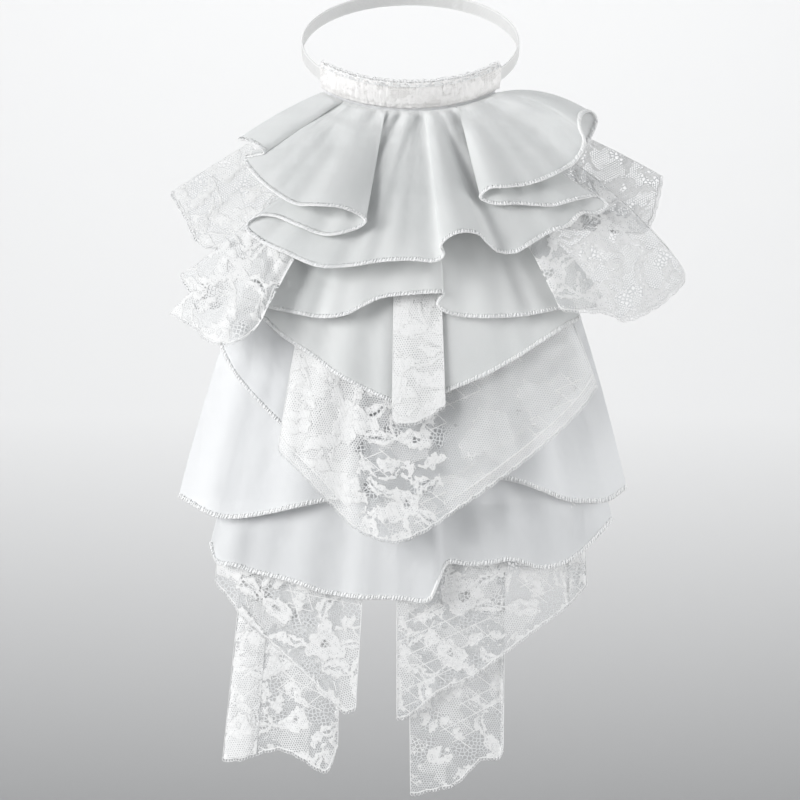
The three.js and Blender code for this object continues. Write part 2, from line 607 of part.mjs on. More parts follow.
add("left_wide_lace", tailLayer(LEFT_WIDE_LACE, 1), lace());
add("right_wide_lace", tailLayer(RIGHT_WIDE_LACE, 1), lace());
add("left_long_tail", tailLayer(LEFT_LONG_TAIL, 2), lace());
add("right_long_tail", tailLayer(RIGHT_LONG_TAIL, 2), lace());

export default collar;
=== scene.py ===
# %% [markdown]
# # A white jabot collar, dressed in chiffon and lace
# A jabot is a neckband with a fall of ruffles. This one has six tiers of sheer chiffon with
# overlocked hems, and eight layers of floral lace between and below them. The solid model gives
# every layer its place and size. This lesson remakes each layer as fine cloth: a grid of points
# from the same tables of folds, with the small gathers, hems, nets and flowers that a solid model
# leaves out.

# %% Load the frame
import math
from collections import namedtuple

import bpy
import numpy as np
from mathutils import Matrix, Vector


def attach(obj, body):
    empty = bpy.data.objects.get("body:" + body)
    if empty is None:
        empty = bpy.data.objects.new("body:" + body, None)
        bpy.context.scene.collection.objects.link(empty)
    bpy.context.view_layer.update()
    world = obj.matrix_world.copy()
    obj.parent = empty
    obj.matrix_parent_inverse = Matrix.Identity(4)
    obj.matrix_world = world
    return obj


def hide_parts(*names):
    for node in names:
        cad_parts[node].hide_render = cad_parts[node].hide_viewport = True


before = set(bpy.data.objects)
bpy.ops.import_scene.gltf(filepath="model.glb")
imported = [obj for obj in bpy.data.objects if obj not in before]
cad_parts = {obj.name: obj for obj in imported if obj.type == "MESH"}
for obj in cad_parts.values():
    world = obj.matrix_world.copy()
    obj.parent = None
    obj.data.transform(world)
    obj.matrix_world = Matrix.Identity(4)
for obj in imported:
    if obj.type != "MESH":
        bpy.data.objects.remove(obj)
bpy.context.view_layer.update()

print("nodes to dress:", len(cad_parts))

# %% [markdown]
# ## Camera, light and backdrop
# The collar was photographed from straight in front, through a long lens, from a little above.
# The camera comes first, because every later step is judged through it. The place of the band and
# the spread of the hems fix its distance: 800 pixels take in 520 mm at the depth of the ruffles.
# White cloth only shows its folds when the light comes from one side, so one large soft light
# stands up at the left, a weaker one fills from the right, and a grey sweep lies behind, paler at
# the top and painted darker low down as painted shade.

# %% Camera at the angle of the photograph
MM = 0.001
VIEW_WIDTH = 520 * MM
VIEW_DISTANCE = 2.4
VIEW_ELEVATION = math.radians(2.5)
VIEW_CENTRE = Vector((-7 * MM, -90 * MM, -234 * MM))
SENSOR_WIDTH = 36.0

camera_data = bpy.data.cameras.new("long_lens")
camera_data.sensor_width = SENSOR_WIDTH
camera_data.lens = SENSOR_WIDTH * VIEW_DISTANCE / VIEW_WIDTH
camera = bpy.data.objects.new("camera", camera_data)
bpy.context.scene.collection.objects.link(camera)
backwards = Vector((0, -math.cos(VIEW_ELEVATION), math.sin(VIEW_ELEVATION)))
camera.location = VIEW_CENTRE + backwards * VIEW_DISTANCE
camera.rotation_euler = (-backwards).to_track_quat("-Z", "Y").to_euler()
bpy.context.scene.camera = camera
print("lens", round(camera_data.lens), "mm")

# %% Soft lights
Light = namedtuple("Light", "name place aim size watts")
AIM = (0, -0.08, -0.22)
LIGHTS = [
    Light("key_softbox", (-3.2, -2.1, 0.7), AIM, 2.2, 138),
    Light("right_fill", (3.4, -0.9, -0.2), (0.05, -0.08, -0.38), 1.8, 74),
    Light("back_rim", (0.9, 2.3, 0.9), AIM, 1.4, 20),
    Light("backdrop_light", (0, 1.6, 1.6), (0, 4.2, -0.2), 2.6, 60),
]


def add_light(light):
    """A soft square light, turned to what it lights."""
    data = bpy.data.lights.new(light.name, "AREA")
    data.size = light.size
    data.energy = light.watts
    lamp = bpy.data.objects.new(light.name, data)
    lamp.location = light.place
    facing = Vector(light.aim) - Vector(light.place)
    lamp.rotation_euler = facing.to_track_quat("-Z", "Y").to_euler()
    bpy.context.scene.collection.objects.link(lamp)


for light in LIGHTS:
    add_light(light)
print("lights:", ", ".join(light.name for light in LIGHTS))

# %% Grey room
WORLD_GREY = (0.80, 0.82, 0.84, 1)
WORLD_STRENGTH = 0.455
world = bpy.data.worlds.new("soft_room")
world.use_nodes = True
world.node_tree.nodes["Background"].inputs["Color"].default_value = WORLD_GREY
world.node_tree.nodes["Background"].inputs["Strength"].default_value = WORLD_STRENGTH
bpy.context.scene.world = world
bpy.context.scene.view_settings.view_transform = "Standard"
print("room light:", WORLD_STRENGTH)

# %% [markdown]
# A studio sweep is one sheet of paper that runs down a wall and out along the floor. It is a
# profile line drawn sideways, so no edge shows where the wall and the floor meet.

# %% Floor and backdrop sweep
FLOOR_Z = -1.7
SWEEP_HALF_WIDTH = 14.0
SWEEP_FRONT = -4.5
SWEEP_BACK = 4.2
SWEEP_RADIUS = 0.5
SWEEP_TOP = 5.5
SWEEP_STEPS = 24

profile = [(SWEEP_FRONT, FLOOR_Z)]
for step in range(SWEEP_STEPS + 1):
    turn = math.pi / 2 * step / SWEEP_STEPS
    profile.append((
        SWEEP_BACK - SWEEP_RADIUS + SWEEP_RADIUS * math.sin(turn),
        FLOOR_Z + SWEEP_RADIUS - SWEEP_RADIUS * math.cos(turn),
    ))
profile.append((SWEEP_BACK, SWEEP_TOP))
sweep_points = [(side * SWEEP_HALF_WIDTH, y, z) for y, z in profile for side in (-1, 1)]
sweep_faces = [(2 * i, 2 * i + 1, 2 * i + 3, 2 * i + 2) for i in range(len(profile) - 1)]
sweep_mesh = bpy.data.meshes.new("studio_sweep")
sweep_mesh.from_pydata(sweep_points, [], sweep_faces)
sweep_mesh.shade_smooth()
sweep = bpy.data.objects.new("studio_sweep", sweep_mesh)
bpy.context.scene.collection.objects.link(sweep)
print("sweep:", len(sweep_faces), "faces")

# %% Grey of the backdrop paper, with painted shade low down
SWEEP_SHADED_GREY = (0.40, 0.402, 0.405, 1)
SWEEP_HIGH_GREY = (0.80, 0.80, 0.80, 1)
SWEEP_SHADE_Z = (-1.15, -0.45)
PAPER_ROUGHNESS = 0.9
sweep_material = bpy.data.materials.new("backdrop_paper")
sweep_material.use_nodes = True
paper = sweep_material.node_tree.nodes["Principled BSDF"]
paper.inputs["Roughness"].default_value = PAPER_ROUGHNESS
paper_tree = sweep_material.node_tree
paper_place = paper_tree.nodes.new("ShaderNodeTexCoord")
paper_xyz = paper_tree.nodes.new("ShaderNodeSeparateXYZ")
# Low down the paper's grey turns darker: painted shade, as if the foot of the backdrop fell out of the light.
paper_shade_grade = paper_tree.nodes.new("ShaderNodeMapRange")
paper_shade_grade.inputs["From Min"].default_value = SWEEP_SHADE_Z[0]
paper_shade_grade.inputs["From Max"].default_value = SWEEP_SHADE_Z[1]
paper_shade_mix = paper_tree.nodes.new("ShaderNodeMix")
paper_shade_mix.data_type = "RGBA"
paper_shade_mix.inputs["A"].default_value = SWEEP_SHADED_GREY
paper_shade_mix.inputs["B"].default_value = SWEEP_HIGH_GREY
paper_tree.links.new(paper_place.outputs["Object"], paper_xyz.inputs[0])
paper_tree.links.new(paper_xyz.outputs["Z"], paper_shade_grade.inputs["Value"])
paper_tree.links.new(paper_shade_grade.outputs["Result"], paper_shade_mix.inputs["Factor"])
paper_tree.links.new(paper_shade_mix.outputs["Result"], paper.inputs["Base Color"])
sweep_mesh.materials.append(sweep_material)
print("paper grey:", SWEEP_SHADED_GREY[0], "low down,", SWEEP_HIGH_GREY[0], "high up")

# %% [markdown]
# ## The neck opening and the curve that everything hangs in
# The band sits on a tilted oval, higher at the back of the neck. Below it the cloth hangs in one
# common curve. The numbers here are those of the solid model, in millimetres, so that each layer
# of cloth comes out where its solid is. Only a few folds at the left of the wide ruffle are softer.

# %% The neck oval
NECK_HALF_WIDTH = 70
NECK_HALF_DEPTH = 60
NECK_TILT = math.radians(34)
BAND_HALF_LENGTH = 57
BAND_HEIGHT = 20
BAND_THICKNESS = 5
TOUCH_GAP = 0.3


def neck_point(angle, outwards, up):
    """A point of the neck opening: angle from the front, distance outwards, distance up the neck."""
    across = NECK_HALF_DEPTH * np.sin(angle)
    ahead = -NECK_HALF_WIDTH * np.cos(angle)
    size = np.hypot(across, ahead)
    x = NECK_HALF_WIDTH * np.sin(angle) + outwards * across / size
    back = -NECK_HALF_DEPTH * np.cos(angle) + outwards * ahead / size
    y = back * math.cos(NECK_TILT) - up * math.sin(NECK_TILT)
    z = back * math.sin(NECK_TILT) + up * math.cos(NECK_TILT)
    return np.stack(np.broadcast_arrays(x, y, z), axis=-1)


CLAMP_POWER = 20


def within_band(x):
    """A sideways place, eased to the end of the band where it lies past it."""
    return x / (1 + np.abs(x / BAND_HALF_LENGTH) ** CLAMP_POWER) ** (1 / CLAMP_POWER)


def band_underside(x, outwards):
    """A point just below the band, at a sideways place."""
    angle = np.arcsin(within_band(x) / NECK_HALF_WIDTH)
    return neck_point(angle, outwards, -BAND_HEIGHT / 2 - TOUCH_GAP)


print("front of the neck opening:", neck_point(0.0, 0, 0).round(1), "mm")

# %% The drape curve
DRAPE_Z = [0, -43, -75, -110, -145, -180, -220, -270, -320, -380, -500]
DRAPE_Y = [-40, -45, -56, -71, -84, -93, -97, -96, -93, -89, -84]
SIDE_WRAP = 0.0018
NECK_FADE = 25
INNER_SEAM_OUT = 1
OUTER_SEAM_OUT = 4


def hermite(before, start, end, after, gaps, share):
    """A smooth curve between two rows, with slopes from the rows on either side."""
    slope_start = (end - before) / (gaps[0] + gaps[1]) * gaps[1]
    slope_end = (after - start) / (gaps[1] + gaps[2]) * gaps[1]
    cube = share ** 3
    square = share ** 2
    return ((2 * cube - 3 * square + 1) * start + (cube - 2 * square + share) * slope_start
            + (3 * square - 2 * cube) * end + (cube - square) * slope_end)


def drape_at(z):
    """How far forward the innermost layer stands at a height."""
    heights = np.array(DRAPE_Z, float)
    depths = np.array(DRAPE_Y, float)
    last = len(heights) - 1
    index = np.clip((heights[1:] > np.asarray(z)[..., None]).sum(-1), 0, last - 1)
    rows = [np.clip(index + offset, 0, last) for offset in (-1, 0, 1, 2)]
    gaps = [np.maximum(1, heights[rows[k]] - heights[rows[k + 1]]) for k in range(3)]
    share = np.clip((heights[rows[1]] - z) / gaps[1], 0, 1)
    return hermite(*[depths[row] for row in rows], gaps, share)


def form_at(x, z):
    """The surface that the innermost layer lies in."""
    edge = band_underside(x, INNER_SEAM_OUT)
    below = np.maximum(0, edge[..., 2] - z)
    flat = drape_at(z) + SIDE_WRAP * x ** 2
    flat_at_edge = drape_at(edge[..., 2]) + SIDE_WRAP * within_band(x) ** 2
    return flat + (edge[..., 1] - flat_at_edge) * np.exp(-below / NECK_FADE)


furthest_ahead = form_at(np.zeros(len(DRAPE_Z)), np.array(DRAPE_Z, float)).min()
print("innermost layer at its furthest ahead:", round(float(furthest_ahead)), "mm")

# %% [markdown]
# ## The stack of layers
# Each layer is sewn on the one behind it and stands in front of that layer's folds. For any point,
# the stack says how much cloth lies behind it: a little for every seam already passed, and more
# where the folds of those layers have grown.

# %% The layers from the body outwards
Layer = namedtuple("Layer", "name seam drop folds_from folds_to reach")
LAYERS = [
    Layer("long_ruffle", None, 0, -302, -365, 7),
    Layer("wide_ruffle", -75, 0, -75, -312, 9),
    Layer("v_under_ruffle", -81, 0, -81, -299, 4),
    Layer("v_lace", -87, 0, -87, -323, 4.5),
    Layer("v_ruffle", -93, 0, -93, -237, 4),
    Layer("centre_lace_tab", -98, 0, -98, -247, 2),
    Layer("short_ruffle", -103, 0, -103, -180, 9),
    Layer("upper_lace", None, 7, -50, -134, 5),
    Layer("side_lace", None, 21, -55, -195, 9),
    Layer("top_ruffle", None, 0.3, -60, -147, 25),
]
SEAM_CLEARANCE = 0.8
LAYER_PITCH = 1.5
NECK_PITCH_GAIN = 0.9
EARLY_LIFT = 8
FOLD_GROWTH = 0.8
TOP_FOLD_GROWTH = 0.7
SIDE_FLARE = 0.6


def smooth(value):
    """A soft step, from nought at nought to one at one."""
    value = np.clip(value, 0, 1)
    return value ** 2 * (3 - 2 * value)


def seam_height(layer, x):
    """Height of a layer's seam: level, or under the band."""
    if layer.seam is not None:
        return np.full_like(np.asarray(x, float), layer.seam)
    return band_underside(x, INNER_SEAM_OUT)[..., 2] - layer.drop


def growth(layer, z):
    """How far a layer's folds have grown at a height, from nought to one."""
    return np.clip((layer.folds_from - z) / (layer.folds_from - layer.folds_to), 0, 1) ** FOLD_GROWTH


def stack_behind(index, x, z):
    """How far the layers behind this one hold it off the drape curve."""
    below = np.maximum(0, band_underside(x, INNER_SEAM_OUT)[..., 2] - z)
    pitch = LAYER_PITCH * (1 + NECK_PITCH_GAIN * np.exp(-below / NECK_FADE))
    total = np.zeros_like(below)
    for layer in LAYERS[:index]:
        begun = smooth((seam_height(layer, x) + EARLY_LIFT - z) / EARLY_LIFT)
        total = total + pitch * begun + layer.reach * growth(layer, z)
    return total


TOP_HEM_Z = -140.0
stacked = stack_behind(len(LAYERS) - 1, np.array(0.0), np.array(TOP_HEM_Z))
print("cloth behind the top ruffle at its hem:", round(float(stacked)), "mm")

# %% [markdown]
# ## Tables of folds
# A ruffle's hem is a line that wanders. Each row of a table is one fold of it: where the fold
# leaves the seam, where it comes out on the hem, how far it stands in front of the layer below,
# and how much its line arches up. The top ruffle is a single strip folded back and forth, so its
# rows turn back on themselves.

# %% Folds of the chiffon tiers
# Columns: seam, x, z, out, arch.
TOP_RUFFLE = [
    (-57, -114, -64, 20, 2), (-50, -105, -66, 21, 2), (-43, -96, -73, 19, 0), (-42.5, -103, -75, 16, 0),
    (-42, -110, -77, 13, 0), (-39, -103, -87, 15, 0), (-35, -93, -96, 17, 2), (-29, -75, -107, 16, 2),
    (-24, -60, -108, 18, 2), (-19, -43, -110, 17, 2), (-16, -29, -118, 15, 0), (-15.2, -38, -124, 11.5, 0),
    (-14.6, -55, -127, 9, 0), (-14, -73, -121, 9, 0), (-13.4, -88, -115, 8.5, 0), (-12.8, -100, -115, 7.5, 0),
    (-12.2, -107, -122, 5, 0), (-11.5, -99, -130, 2.5, 0), (-9, -82, -138, 3, 0), (-5, -60, -147, 4, 0),
    (-1, -40, -147, 3, 0), (3, -20, -144, 4, 0), (6, -1, -143, 3, 0), (8.5, 15, -144, 3, 0),
    (9, 21, -140, 7, 0), (9.5, 19, -134, 12, 0), (11, 25, -128, 15, 0), (13, 34, -125, 16, 0),
    (15.5, 44, -127, 14, 0), (17.5, 50, -133, 8, 0), (19, 57, -138, 3, 0), (21.5, 68, -138, 4, 0),
    (23.5, 80, -131, 5, 0), (25, 93, -124, 3.5, 0), (26, 103, -121, 3, 0), (26.6, 112, -113, 4, 0),
    (27.1, 122, -113, 5, 0), (27.6, 129, -108, 7, 0), (28, 122, -102, 9.5, 0), (28.3, 108, -104, 10.5, 0),
    (28.6, 92, -108, 10, 0), (28.9, 70, -107, 10, 0), (29.3, 54, -107, 11, 0), (29.8, 45, -103, 13.5, 0),
    (31, 51, -97, 16.5, 0), (33, 62, -96, 17.5, 2), (37, 77, -94, 16, 3), (42, 93, -88, 18, 4),
    (46, 107, -80, 17, 5), (49, 113, -72, 18, 6), (50.5, 115, -65, 20, 6), (52, 112, -56, 21, 7),
    (53.5, 113, -48, 19, 7), (54.8, 119, -45, 14, 7), (55.7, 124, -50, 9, 6), (56.4, 121, -60, 6, 4),
    (57, 116, -68, 5, 2),
]
SHORT_RUFFLE = [
    (-45, -111, -168, 2, 0), (-41, -96, -173, 3, 0), (-34, -76, -177, 5, 0), (-27, -58, -180, 5, 0),
    (-19, -42, -178, 7, 0), (-12, -30, -172, 8, 0), (-6, -18, -167, 8, 0), (4, -1, -165, 8, 0),
    (14, 16, -164, 9, 0), (17, 21, -165, 6.5, 0), (18, 17, -172, 3.5, 0), (19, 26, -178, 1, 0),
    (26, 46, -180, 0.5, 0), (32, 72, -179, 2, 0), (38, 96, -175, 3, 0), (42, 116, -174, 3, 0),
    (45, 129, -171, 2, 0),
]
V_RUFFLE = [
    (-42, -103, -174, 1, 0), (-39, -97, -180, 2, 0), (-33, -82, -193, 4, 0), (-26, -65, -204, 2, 0),
    (-19, -47, -217, 4, 0), (-10, -26, -228, 3, 0), (-3, -8, -235, 2, 0), (3, 6, -237, 2, 0),
    (10, 22, -228, 3, 0), (19, 46, -218, 4, 0), (26, 67, -207, 2, 0), (33, 86, -195, 4, 0),
    (39, 101, -186, 2, 0), (42, 111, -181, 1, 0),
]
V_UNDER_RUFFLE = [
    (-42, -125, -198, 1, 0), (-38, -117, -214, 3, 0), (-33, -105, -229, 4, 0), (-26, -83, -251, 2, 0),
    (-21, -68, -263, 3, 0), (-12, -40, -283, 2, 0), (-3, -7, -299, 4, 0), (9, 25, -285, 2, 0),
    (23, 71, -255, 4, 0), (34, 103, -231, 2, 0), (41, 116, -216, 1, 0),
]
WIDE_RUFFLE = [
    (-54, -153, -299, 6, 0), (-49, -136, -308, 8, 0), (-44, -123, -312, 7, 0), (-38, -107, -311, 6, 0),
    (-32, -92, -308, 7, 0), (-25, -72, -303, 8.5, 0), (-18, -52, -299, 4, 0), (-9, -27, -294, 2, 0),
    (0, 0, -290, 3, 0), (9, 25, -287, 2, 0), (18, 51, -285, 3, 0), (25, 68, -287, 6, 0),
    (32, 85, -293, 9, 0), (39, 101, -300, 5, 0), (45, 116, -302, 3, 0), (50, 130, -301, 5, 0),
    (54, 142, -293, 8, 0),
]
LONG_RUFFLE = [
    (-57, -132, -330, 3, 0), (-53, -128, -342, 4, 0), (-48, -116, -344, 7, 0), (-42, -103, -348, 3, 0),
    (-32, -75, -354, 5, 0), (-24, -58, -360, 2, 0), (-15, -35, -363, 5, 0), (-3, -7, -364, 3, 0),
    (3, 11, -365, 6, 0), (7, 18, -352, 7, 0), (11, 24, -341, 3, 0), (17, 38, -342, 1, 0),
    (23, 52, -341, 4, 0), (28, 66, -339, 6, 0), (35, 85, -345, 3, 0), (41, 101, -342, 5, 0),
    (47, 114, -334, 3, 0), (52, 126, -322, 5, 0), (57, 133, -314, 3, 0),
]
print("folds charted in the top ruffle:", len(TOP_RUFFLE))

# %% Folds of the lace layers
# Columns: seam, x, z, out, arch.
SIDE_LACE = [
    (-53, -149, -152, 2, -10), (-52, -143, -162, 1.5, -8), (-50.7, -129, -169, 2, -6),
    (-50, -122, -172, 3.5, -5), (-49, -137, -173, 5, -5), (-47.5, -155, -176, 7, -5),
    (-45, -147, -181, 9, -4), (-42, -137, -187, 8, -2),
    (-39, -130, -194, 8, 0), (-36, -114, -195, 9, 0), (-32, -97, -183, 8, 0), (-29, -88, -161, 7, 0),
    (-26, -81, -139, 5, 0), (-22, -70, -126, 3, 0), (-12, -40, -121, 2, 0), (0, 0, -120, 2, 0),
    (18, 45, -121, 2, 0), (26, 68, -126, 3, 0), (30, 78, -138, 4, 0), (34, 89, -157, 5, 2),
    (37, 96, -173, 6, 4), (41, 110, -175, 8, 8), (44, 125, -176, 6, 12), (47, 138, -181, 8, 14),
    (50, 156, -174, 6, 17), (51.3, 167, -167, 4, 17), (51.8, 179, -153, 4, 15), (52.2, 168, -134, 4, 13),
]
UPPER_LACE = [
    (-57, -158, -98, 2, 2), (-53, -147, -115, 3, 1), (-49, -137, -132, 2, 0), (-43, -120, -134, 3, 0),
    (-34, -98, -129, 4, 0), (-20, -59, -121, 2, 0), (0, 0, -116, 2, 0), (20, 58, -119, 3, 0),
    (38, 110, -122, 2, 0), (47, 149, -125, 3, 0), (51, 157, -119, 2, 1), (54, 163, -103, 3, 2),
    (57, 167, -87, 2, 3),
]
CENTRE_LACE_TAB = [
    (-10, -12, -246, 1, 0), (-1, 0, -247, 2, 0), (8, 12, -242, 1, 0), (17, 22, -235, 2, 0),
]
V_LACE = [
    (-40, -86, -265, 1, 0), (-31, -69, -281, 4, 0), (-22, -49, -302, 2, 0), (-14, -33, -316, 4, 0),
    (-5, -10, -323, 4.5, 0), (4, 9, -316, 3, 0), (11, 26, -305, 2, 0), (20, 52, -287, 4, 0),
    (29, 84, -263, 2, 0), (36, 110, -239, 3, 0), (40, 121, -224, 1, 0),
]
LEFT_WIDE_LACE = [
    (-124, -129, -355, 2, 0), (-114, -119, -366, 3, 0), (-104, -110, -378, 2, 0), (-84, -88, -397, 3, 0),
    (-62, -66, -417, 2, 0), (-40, -44, -438, 3, 0), (-28, -36, -436, 2, 0),
]
RIGHT_WIDE_LACE = [
    (-9, -9, -443, 2, 0), (1, 1, -439, 3, 0), (19, 19, -424, 2, 0), (40, 40, -415, 3, 0),
    (61, 61, -400, 2, 0), (83, 83, -384, 3, 0), (98, 100, -372, 2, 0), (107, 109, -364, 3, 0),
    (114, 116, -356, 2, 0),
]
LEFT_LONG_TAIL = [
    (-106, -125, -475, 8, 0), (-95, -111, -473, 6, 0), (-84, -97, -468, 8, 0), (-74, -85, -466, 9, 0),
    (-64, -74, -470, 7, 0), (-52, -56, -479, 6, 0), (-44, -48, -462, 7, 0),
]
RIGHT_LONG_TAIL = [
    (-2, 0, -494, 7, 0), (14, 15, -491, 8, 0), (28, 29, -487, 6, 0), (37, 37, -480, 7, 0),
    (48, 47, -471, 9, 0), (57, 57, -471, 8, 0), (62, 61, -465, 6, 0),
]
print("folds charted in the side lace:", len(SIDE_LACE))

# %% [markdown]
# ## From a table to a grid of cloth
# A smooth curve through the rows gives as many columns as the cloth needs. Gathers are then added
# as irregular waves: deep and close together at the seam, where the cloth is bunched under the
# stitching, and wider and softer towards the hem.

# %% Columns and waves
SEAM, HEM_X, HEM_Z, OUT, ARCH = range(5)
WANDER_REACH = 1.1
WANDER_STRETCH = 3.3


def fill_rows(table, spacing):
    """Columns no wider apart than the spacing, on a smooth curve through the table's rows."""
    rows = np.array(table, float)
    last = len(rows) - 1
    steps = np.diff(rows[:, [HEM_X, HEM_Z, OUT]], axis=0)
    apart = np.linalg.norm(steps, axis=1)
    root = np.sqrt(np.maximum(1, apart))
    filled = []
    for index in range(last):
        near = [rows[min(last, max(0, index + offset))] for offset in (-1, 0, 1, 2)]
        gaps = [
            root[index - 1] if index > 0 else 1.0,
            root[index],
            root[index + 1] if index + 1 < last else 1.0,
        ]
        count = max(1, math.ceil(apart[index] / spacing))
        for step in range(count):
            filled.append(hermite(*near, gaps, step / count))
    filled.append(rows[last])
    return np.array(filled)


print("columns in a top ruffle at 1.5 mm:", len(fill_rows(TOP_RUFFLE, 1.5)))


def waves(along, wavelengths, seed):
    """Irregular waves between about -1 and 1 along a seam or a hem."""
    random = np.random.default_rng(seed)
    total = np.zeros_like(along)
    for wavelength in wavelengths:
        start, drift = random.uniform(0, 2 * math.pi, 2)
        wander = WANDER_REACH * np.sin(2 * math.pi * along / (WANDER_STRETCH * wavelength) + drift)
        total += np.sin(2 * math.pi * along / wavelength + start + wander)
    return total / len(wavelengths)


def distance_along(points):
    """Running length of a line of points."""
    steps = np.linalg.norm(np.diff(points, axis=0), axis=1)
    return np.concatenate([[0], np.cumsum(steps)])


# %% A hung layer as a grid
Gathers = namedtuple("Gathers", "seam_depth seam_wave fade hem_depth hem_wave seed")
Cloth = namedtuple("Cloth", "grid flat")
GATHERS_START = 3


def hang(columns, top, flare, depth_at, rows, gathers):
    """Grid of points, columns by rows, with its flat cut coordinates in millimetres."""
    share = np.linspace(0, 1, rows)[None, :]
    x = top[:, None, 0] + (columns[:, None, HEM_X] - top[:, None, 0]) * share ** flare
    z = top[:, None, 2] + (columns[:, None, HEM_Z] - top[:, None, 2]) * share
    z = z + columns[:, None, ARCH] * 4 * share * (1 - share)
    y = depth_at(x, z, columns[:, None, OUT], share)
    hem = np.stack([x[:, -1], y[:, -1], z[:, -1]], axis=-1)
    along_hem = distance_along(hem)
    along_seam = columns[:, SEAM] - columns[0, SEAM]
    length = np.linalg.norm(hem - np.stack([x[:, 0], y[:, 0], z[:, 0]], axis=-1), axis=1)
    down = share * length[:, None]
    if gathers:
        close = waves(along_seam, gathers.seam_wave, gathers.seed)
        wide = waves(along_hem, gathers.hem_wave, gathers.seed + 1)
        fine = gathers.seam_depth * (1 + close[:, None]) * np.exp(-down / gathers.fade)
        soft = gathers.hem_depth * wide[:, None] * smooth(share)
        y = y - fine * smooth(down / GATHERS_START) - soft
    flat = np.stack(np.broadcast_arrays(along_hem[:, None], length[:, None] - down), axis=-1)
    return Cloth(np.stack([x, y, z], axis=-1), flat)


# %% Curls and dents of the top ruffle
Curl = namedtuple("Curl", "seam back width")
Dent = namedtuple("Dent", "seam_from seam_to x z back size")
TOP_RUFFLE_CURLS = [
    Curl(-23, -7.0, 26), Curl(-16, 8.5, 13), Curl(0, 3.5, 22), Curl(11.5, -4.0, 12), Curl(20, 4.0, 12),
    Curl(33, -3.0, 20), Curl(29.6, 4.0, 11), Curl(-42.5, 2.0, 10), Curl(-43.2, 3.0, 7),
]
TOP_RUFFLE_DENTS = [Dent(30, 52, 82, -54, 4.5, 15), Dent(-40, -16, -52, -62, 2.5, 12)]
CURL_START = 1.6
print("curls and dents:", len(TOP_RUFFLE_CURLS), len(TOP_RUFFLE_DENTS))


def dented(cloth, seams, dents):
    """Presses soft hollows into single folds."""
    grid = cloth.grid.copy()
    for dent in dents:
        far = np.hypot(grid[..., 0] - dent.x, grid[..., 2] - dent.z)
        here = (seams > dent.seam_from) & (seams < dent.seam_to)
        grid[..., 1] += dent.back * np.exp(-(far / dent.size) ** 2) * here[:, None]
    return Cloth(grid, cloth.flat)


def curled(cloth, seams, curls):
    """Bends the cloth back near the edge of a fold, so that it turns softly."""
    grid = cloth.grid.copy()
    along = cloth.flat[:, 0, 0]
    share = 1 - cloth.flat[..., 1] / cloth.flat[:, :1, 1]
    for curl in curls:
        edge = np.interp(curl.seam, seams, along)
        near = np.exp(-((along - edge) / curl.width) ** 2)
        grid[..., 1] += curl.back * near[:, None] * smooth(share * CURL_START)
    return Cloth(grid, cloth.flat)


# %% Layers and tails in their places
TAIL_SEAM = -302


def hang_layer(name, table, spacing, rows, flare, gathers):
    """A layer of the stack: gathered at its seam, in front of all the layers behind it."""
    index = [layer.name for layer in LAYERS].index(name)
    layer = LAYERS[index]
    columns = fill_rows(table, spacing)
    on_top = name == "top_ruffle"
    top = band_underside(columns[:, SEAM], OUTER_SEAM_OUT if on_top else INNER_SEAM_OUT)
    if layer.seam is None:
        top[:, 2] -= layer.drop + SEAM_CLEARANCE
    else:
        top[:, 2] = layer.seam

    def depth_at(x, z, out, share):
        """Place of the layer in depth, with more of its folds the lower it is."""
        grown = share ** TOP_FOLD_GROWTH if on_top else growth(layer, z)
        return form_at(x, z) - stack_behind(index, x, z) - out * grown

    cloth = hang(columns, top, flare, depth_at, rows, gathers)
    if not on_top:
        return cloth
    curly = curled(cloth, columns[:, SEAM], TOP_RUFFLE_CURLS)
    return dented(curly, columns[:, SEAM], TOP_RUFFLE_DENTS)


def hang_tail(table, order, spacing, rows):
    """A lace tail: without gathers, behind the longest layer."""
    columns = fill_rows(table, spacing)
    seam = columns[:, SEAM]
    height = np.full_like(seam, TAIL_SEAM)
    top = np.stack([seam, form_at(seam, height), height], axis=-1)

    def depth_at(x, z, out, share):
        """Place of the layer in depth, with more of its folds the lower it is."""
        return form_at(x, z) + LAYER_PITCH * order * (1 + share) + out * share

    return hang(columns, top, 1, depth_at, rows, None)


# %% [markdown]
# ## Meshes from grids and from threads
# Cloth becomes a quad grid with its flat cut kept as a UV map, so that weave and lace follow the
# cloth through every fold. Threads, hems and edgings are tubes swept along a line of points.

# %% Grid mesh
def new_piece(name, parts):
    """One smooth mesh that rides on the collar. parts: points in millimetres, faces, material."""
    points, faces, slots, materials = [], [], [], []
    for part_points, part_faces, material in parts:
        first = sum(len(block) for block in points)
        if material not in materials:
            materials.append(material)
        faces.extend([corner + first for corner in face] for face in part_faces)
        slots.extend([materials.index(material)] * len(part_faces))
        points.append(np.reshape(part_points, (-1, 3)))
    mesh = bpy.data.meshes.new(name)
    mesh.from_pydata((np.concatenate(points) * MM).tolist(), [], faces)
    for material in materials:
        mesh.materials.append(material)
    mesh.polygons.foreach_set("material_index", slots)
    mesh.shade_smooth()
    piece = bpy.data.objects.new(name, mesh)
    bpy.context.scene.collection.objects.link(piece)
    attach(piece, "root")
    return piece


def grid_faces(columns, rows, closed=False):
    """Four corners of every face of a grid, which may close on itself."""
    corner = np.arange(columns * rows).reshape(columns, rows)
    if closed:
        corner = np.concatenate([corner, corner[:, :1]], axis=1)
    a = corner[:-1, :-1]
    b = corner[:-1, 1:]
    c = corner[1:, 1:]
    d = corner[1:, :-1]
    return np.stack([a, b, c, d], axis=-1).reshape(-1, 4)


# %% Cloth that keeps its flat cut
def add_flat_map(piece, flat):
    """Keeps the flat cut, in metres, as the piece's UV map."""
    layer = piece.data.uv_layers.new(name="flat_cut")
    index = np.zeros(len(piece.data.loops), np.int32)
    piece.data.loops.foreach_get("vertex_index", index)
    layer.data.foreach_set("uv", (flat.reshape(-1, 2)[index] * MM).astype(np.float32).ravel())


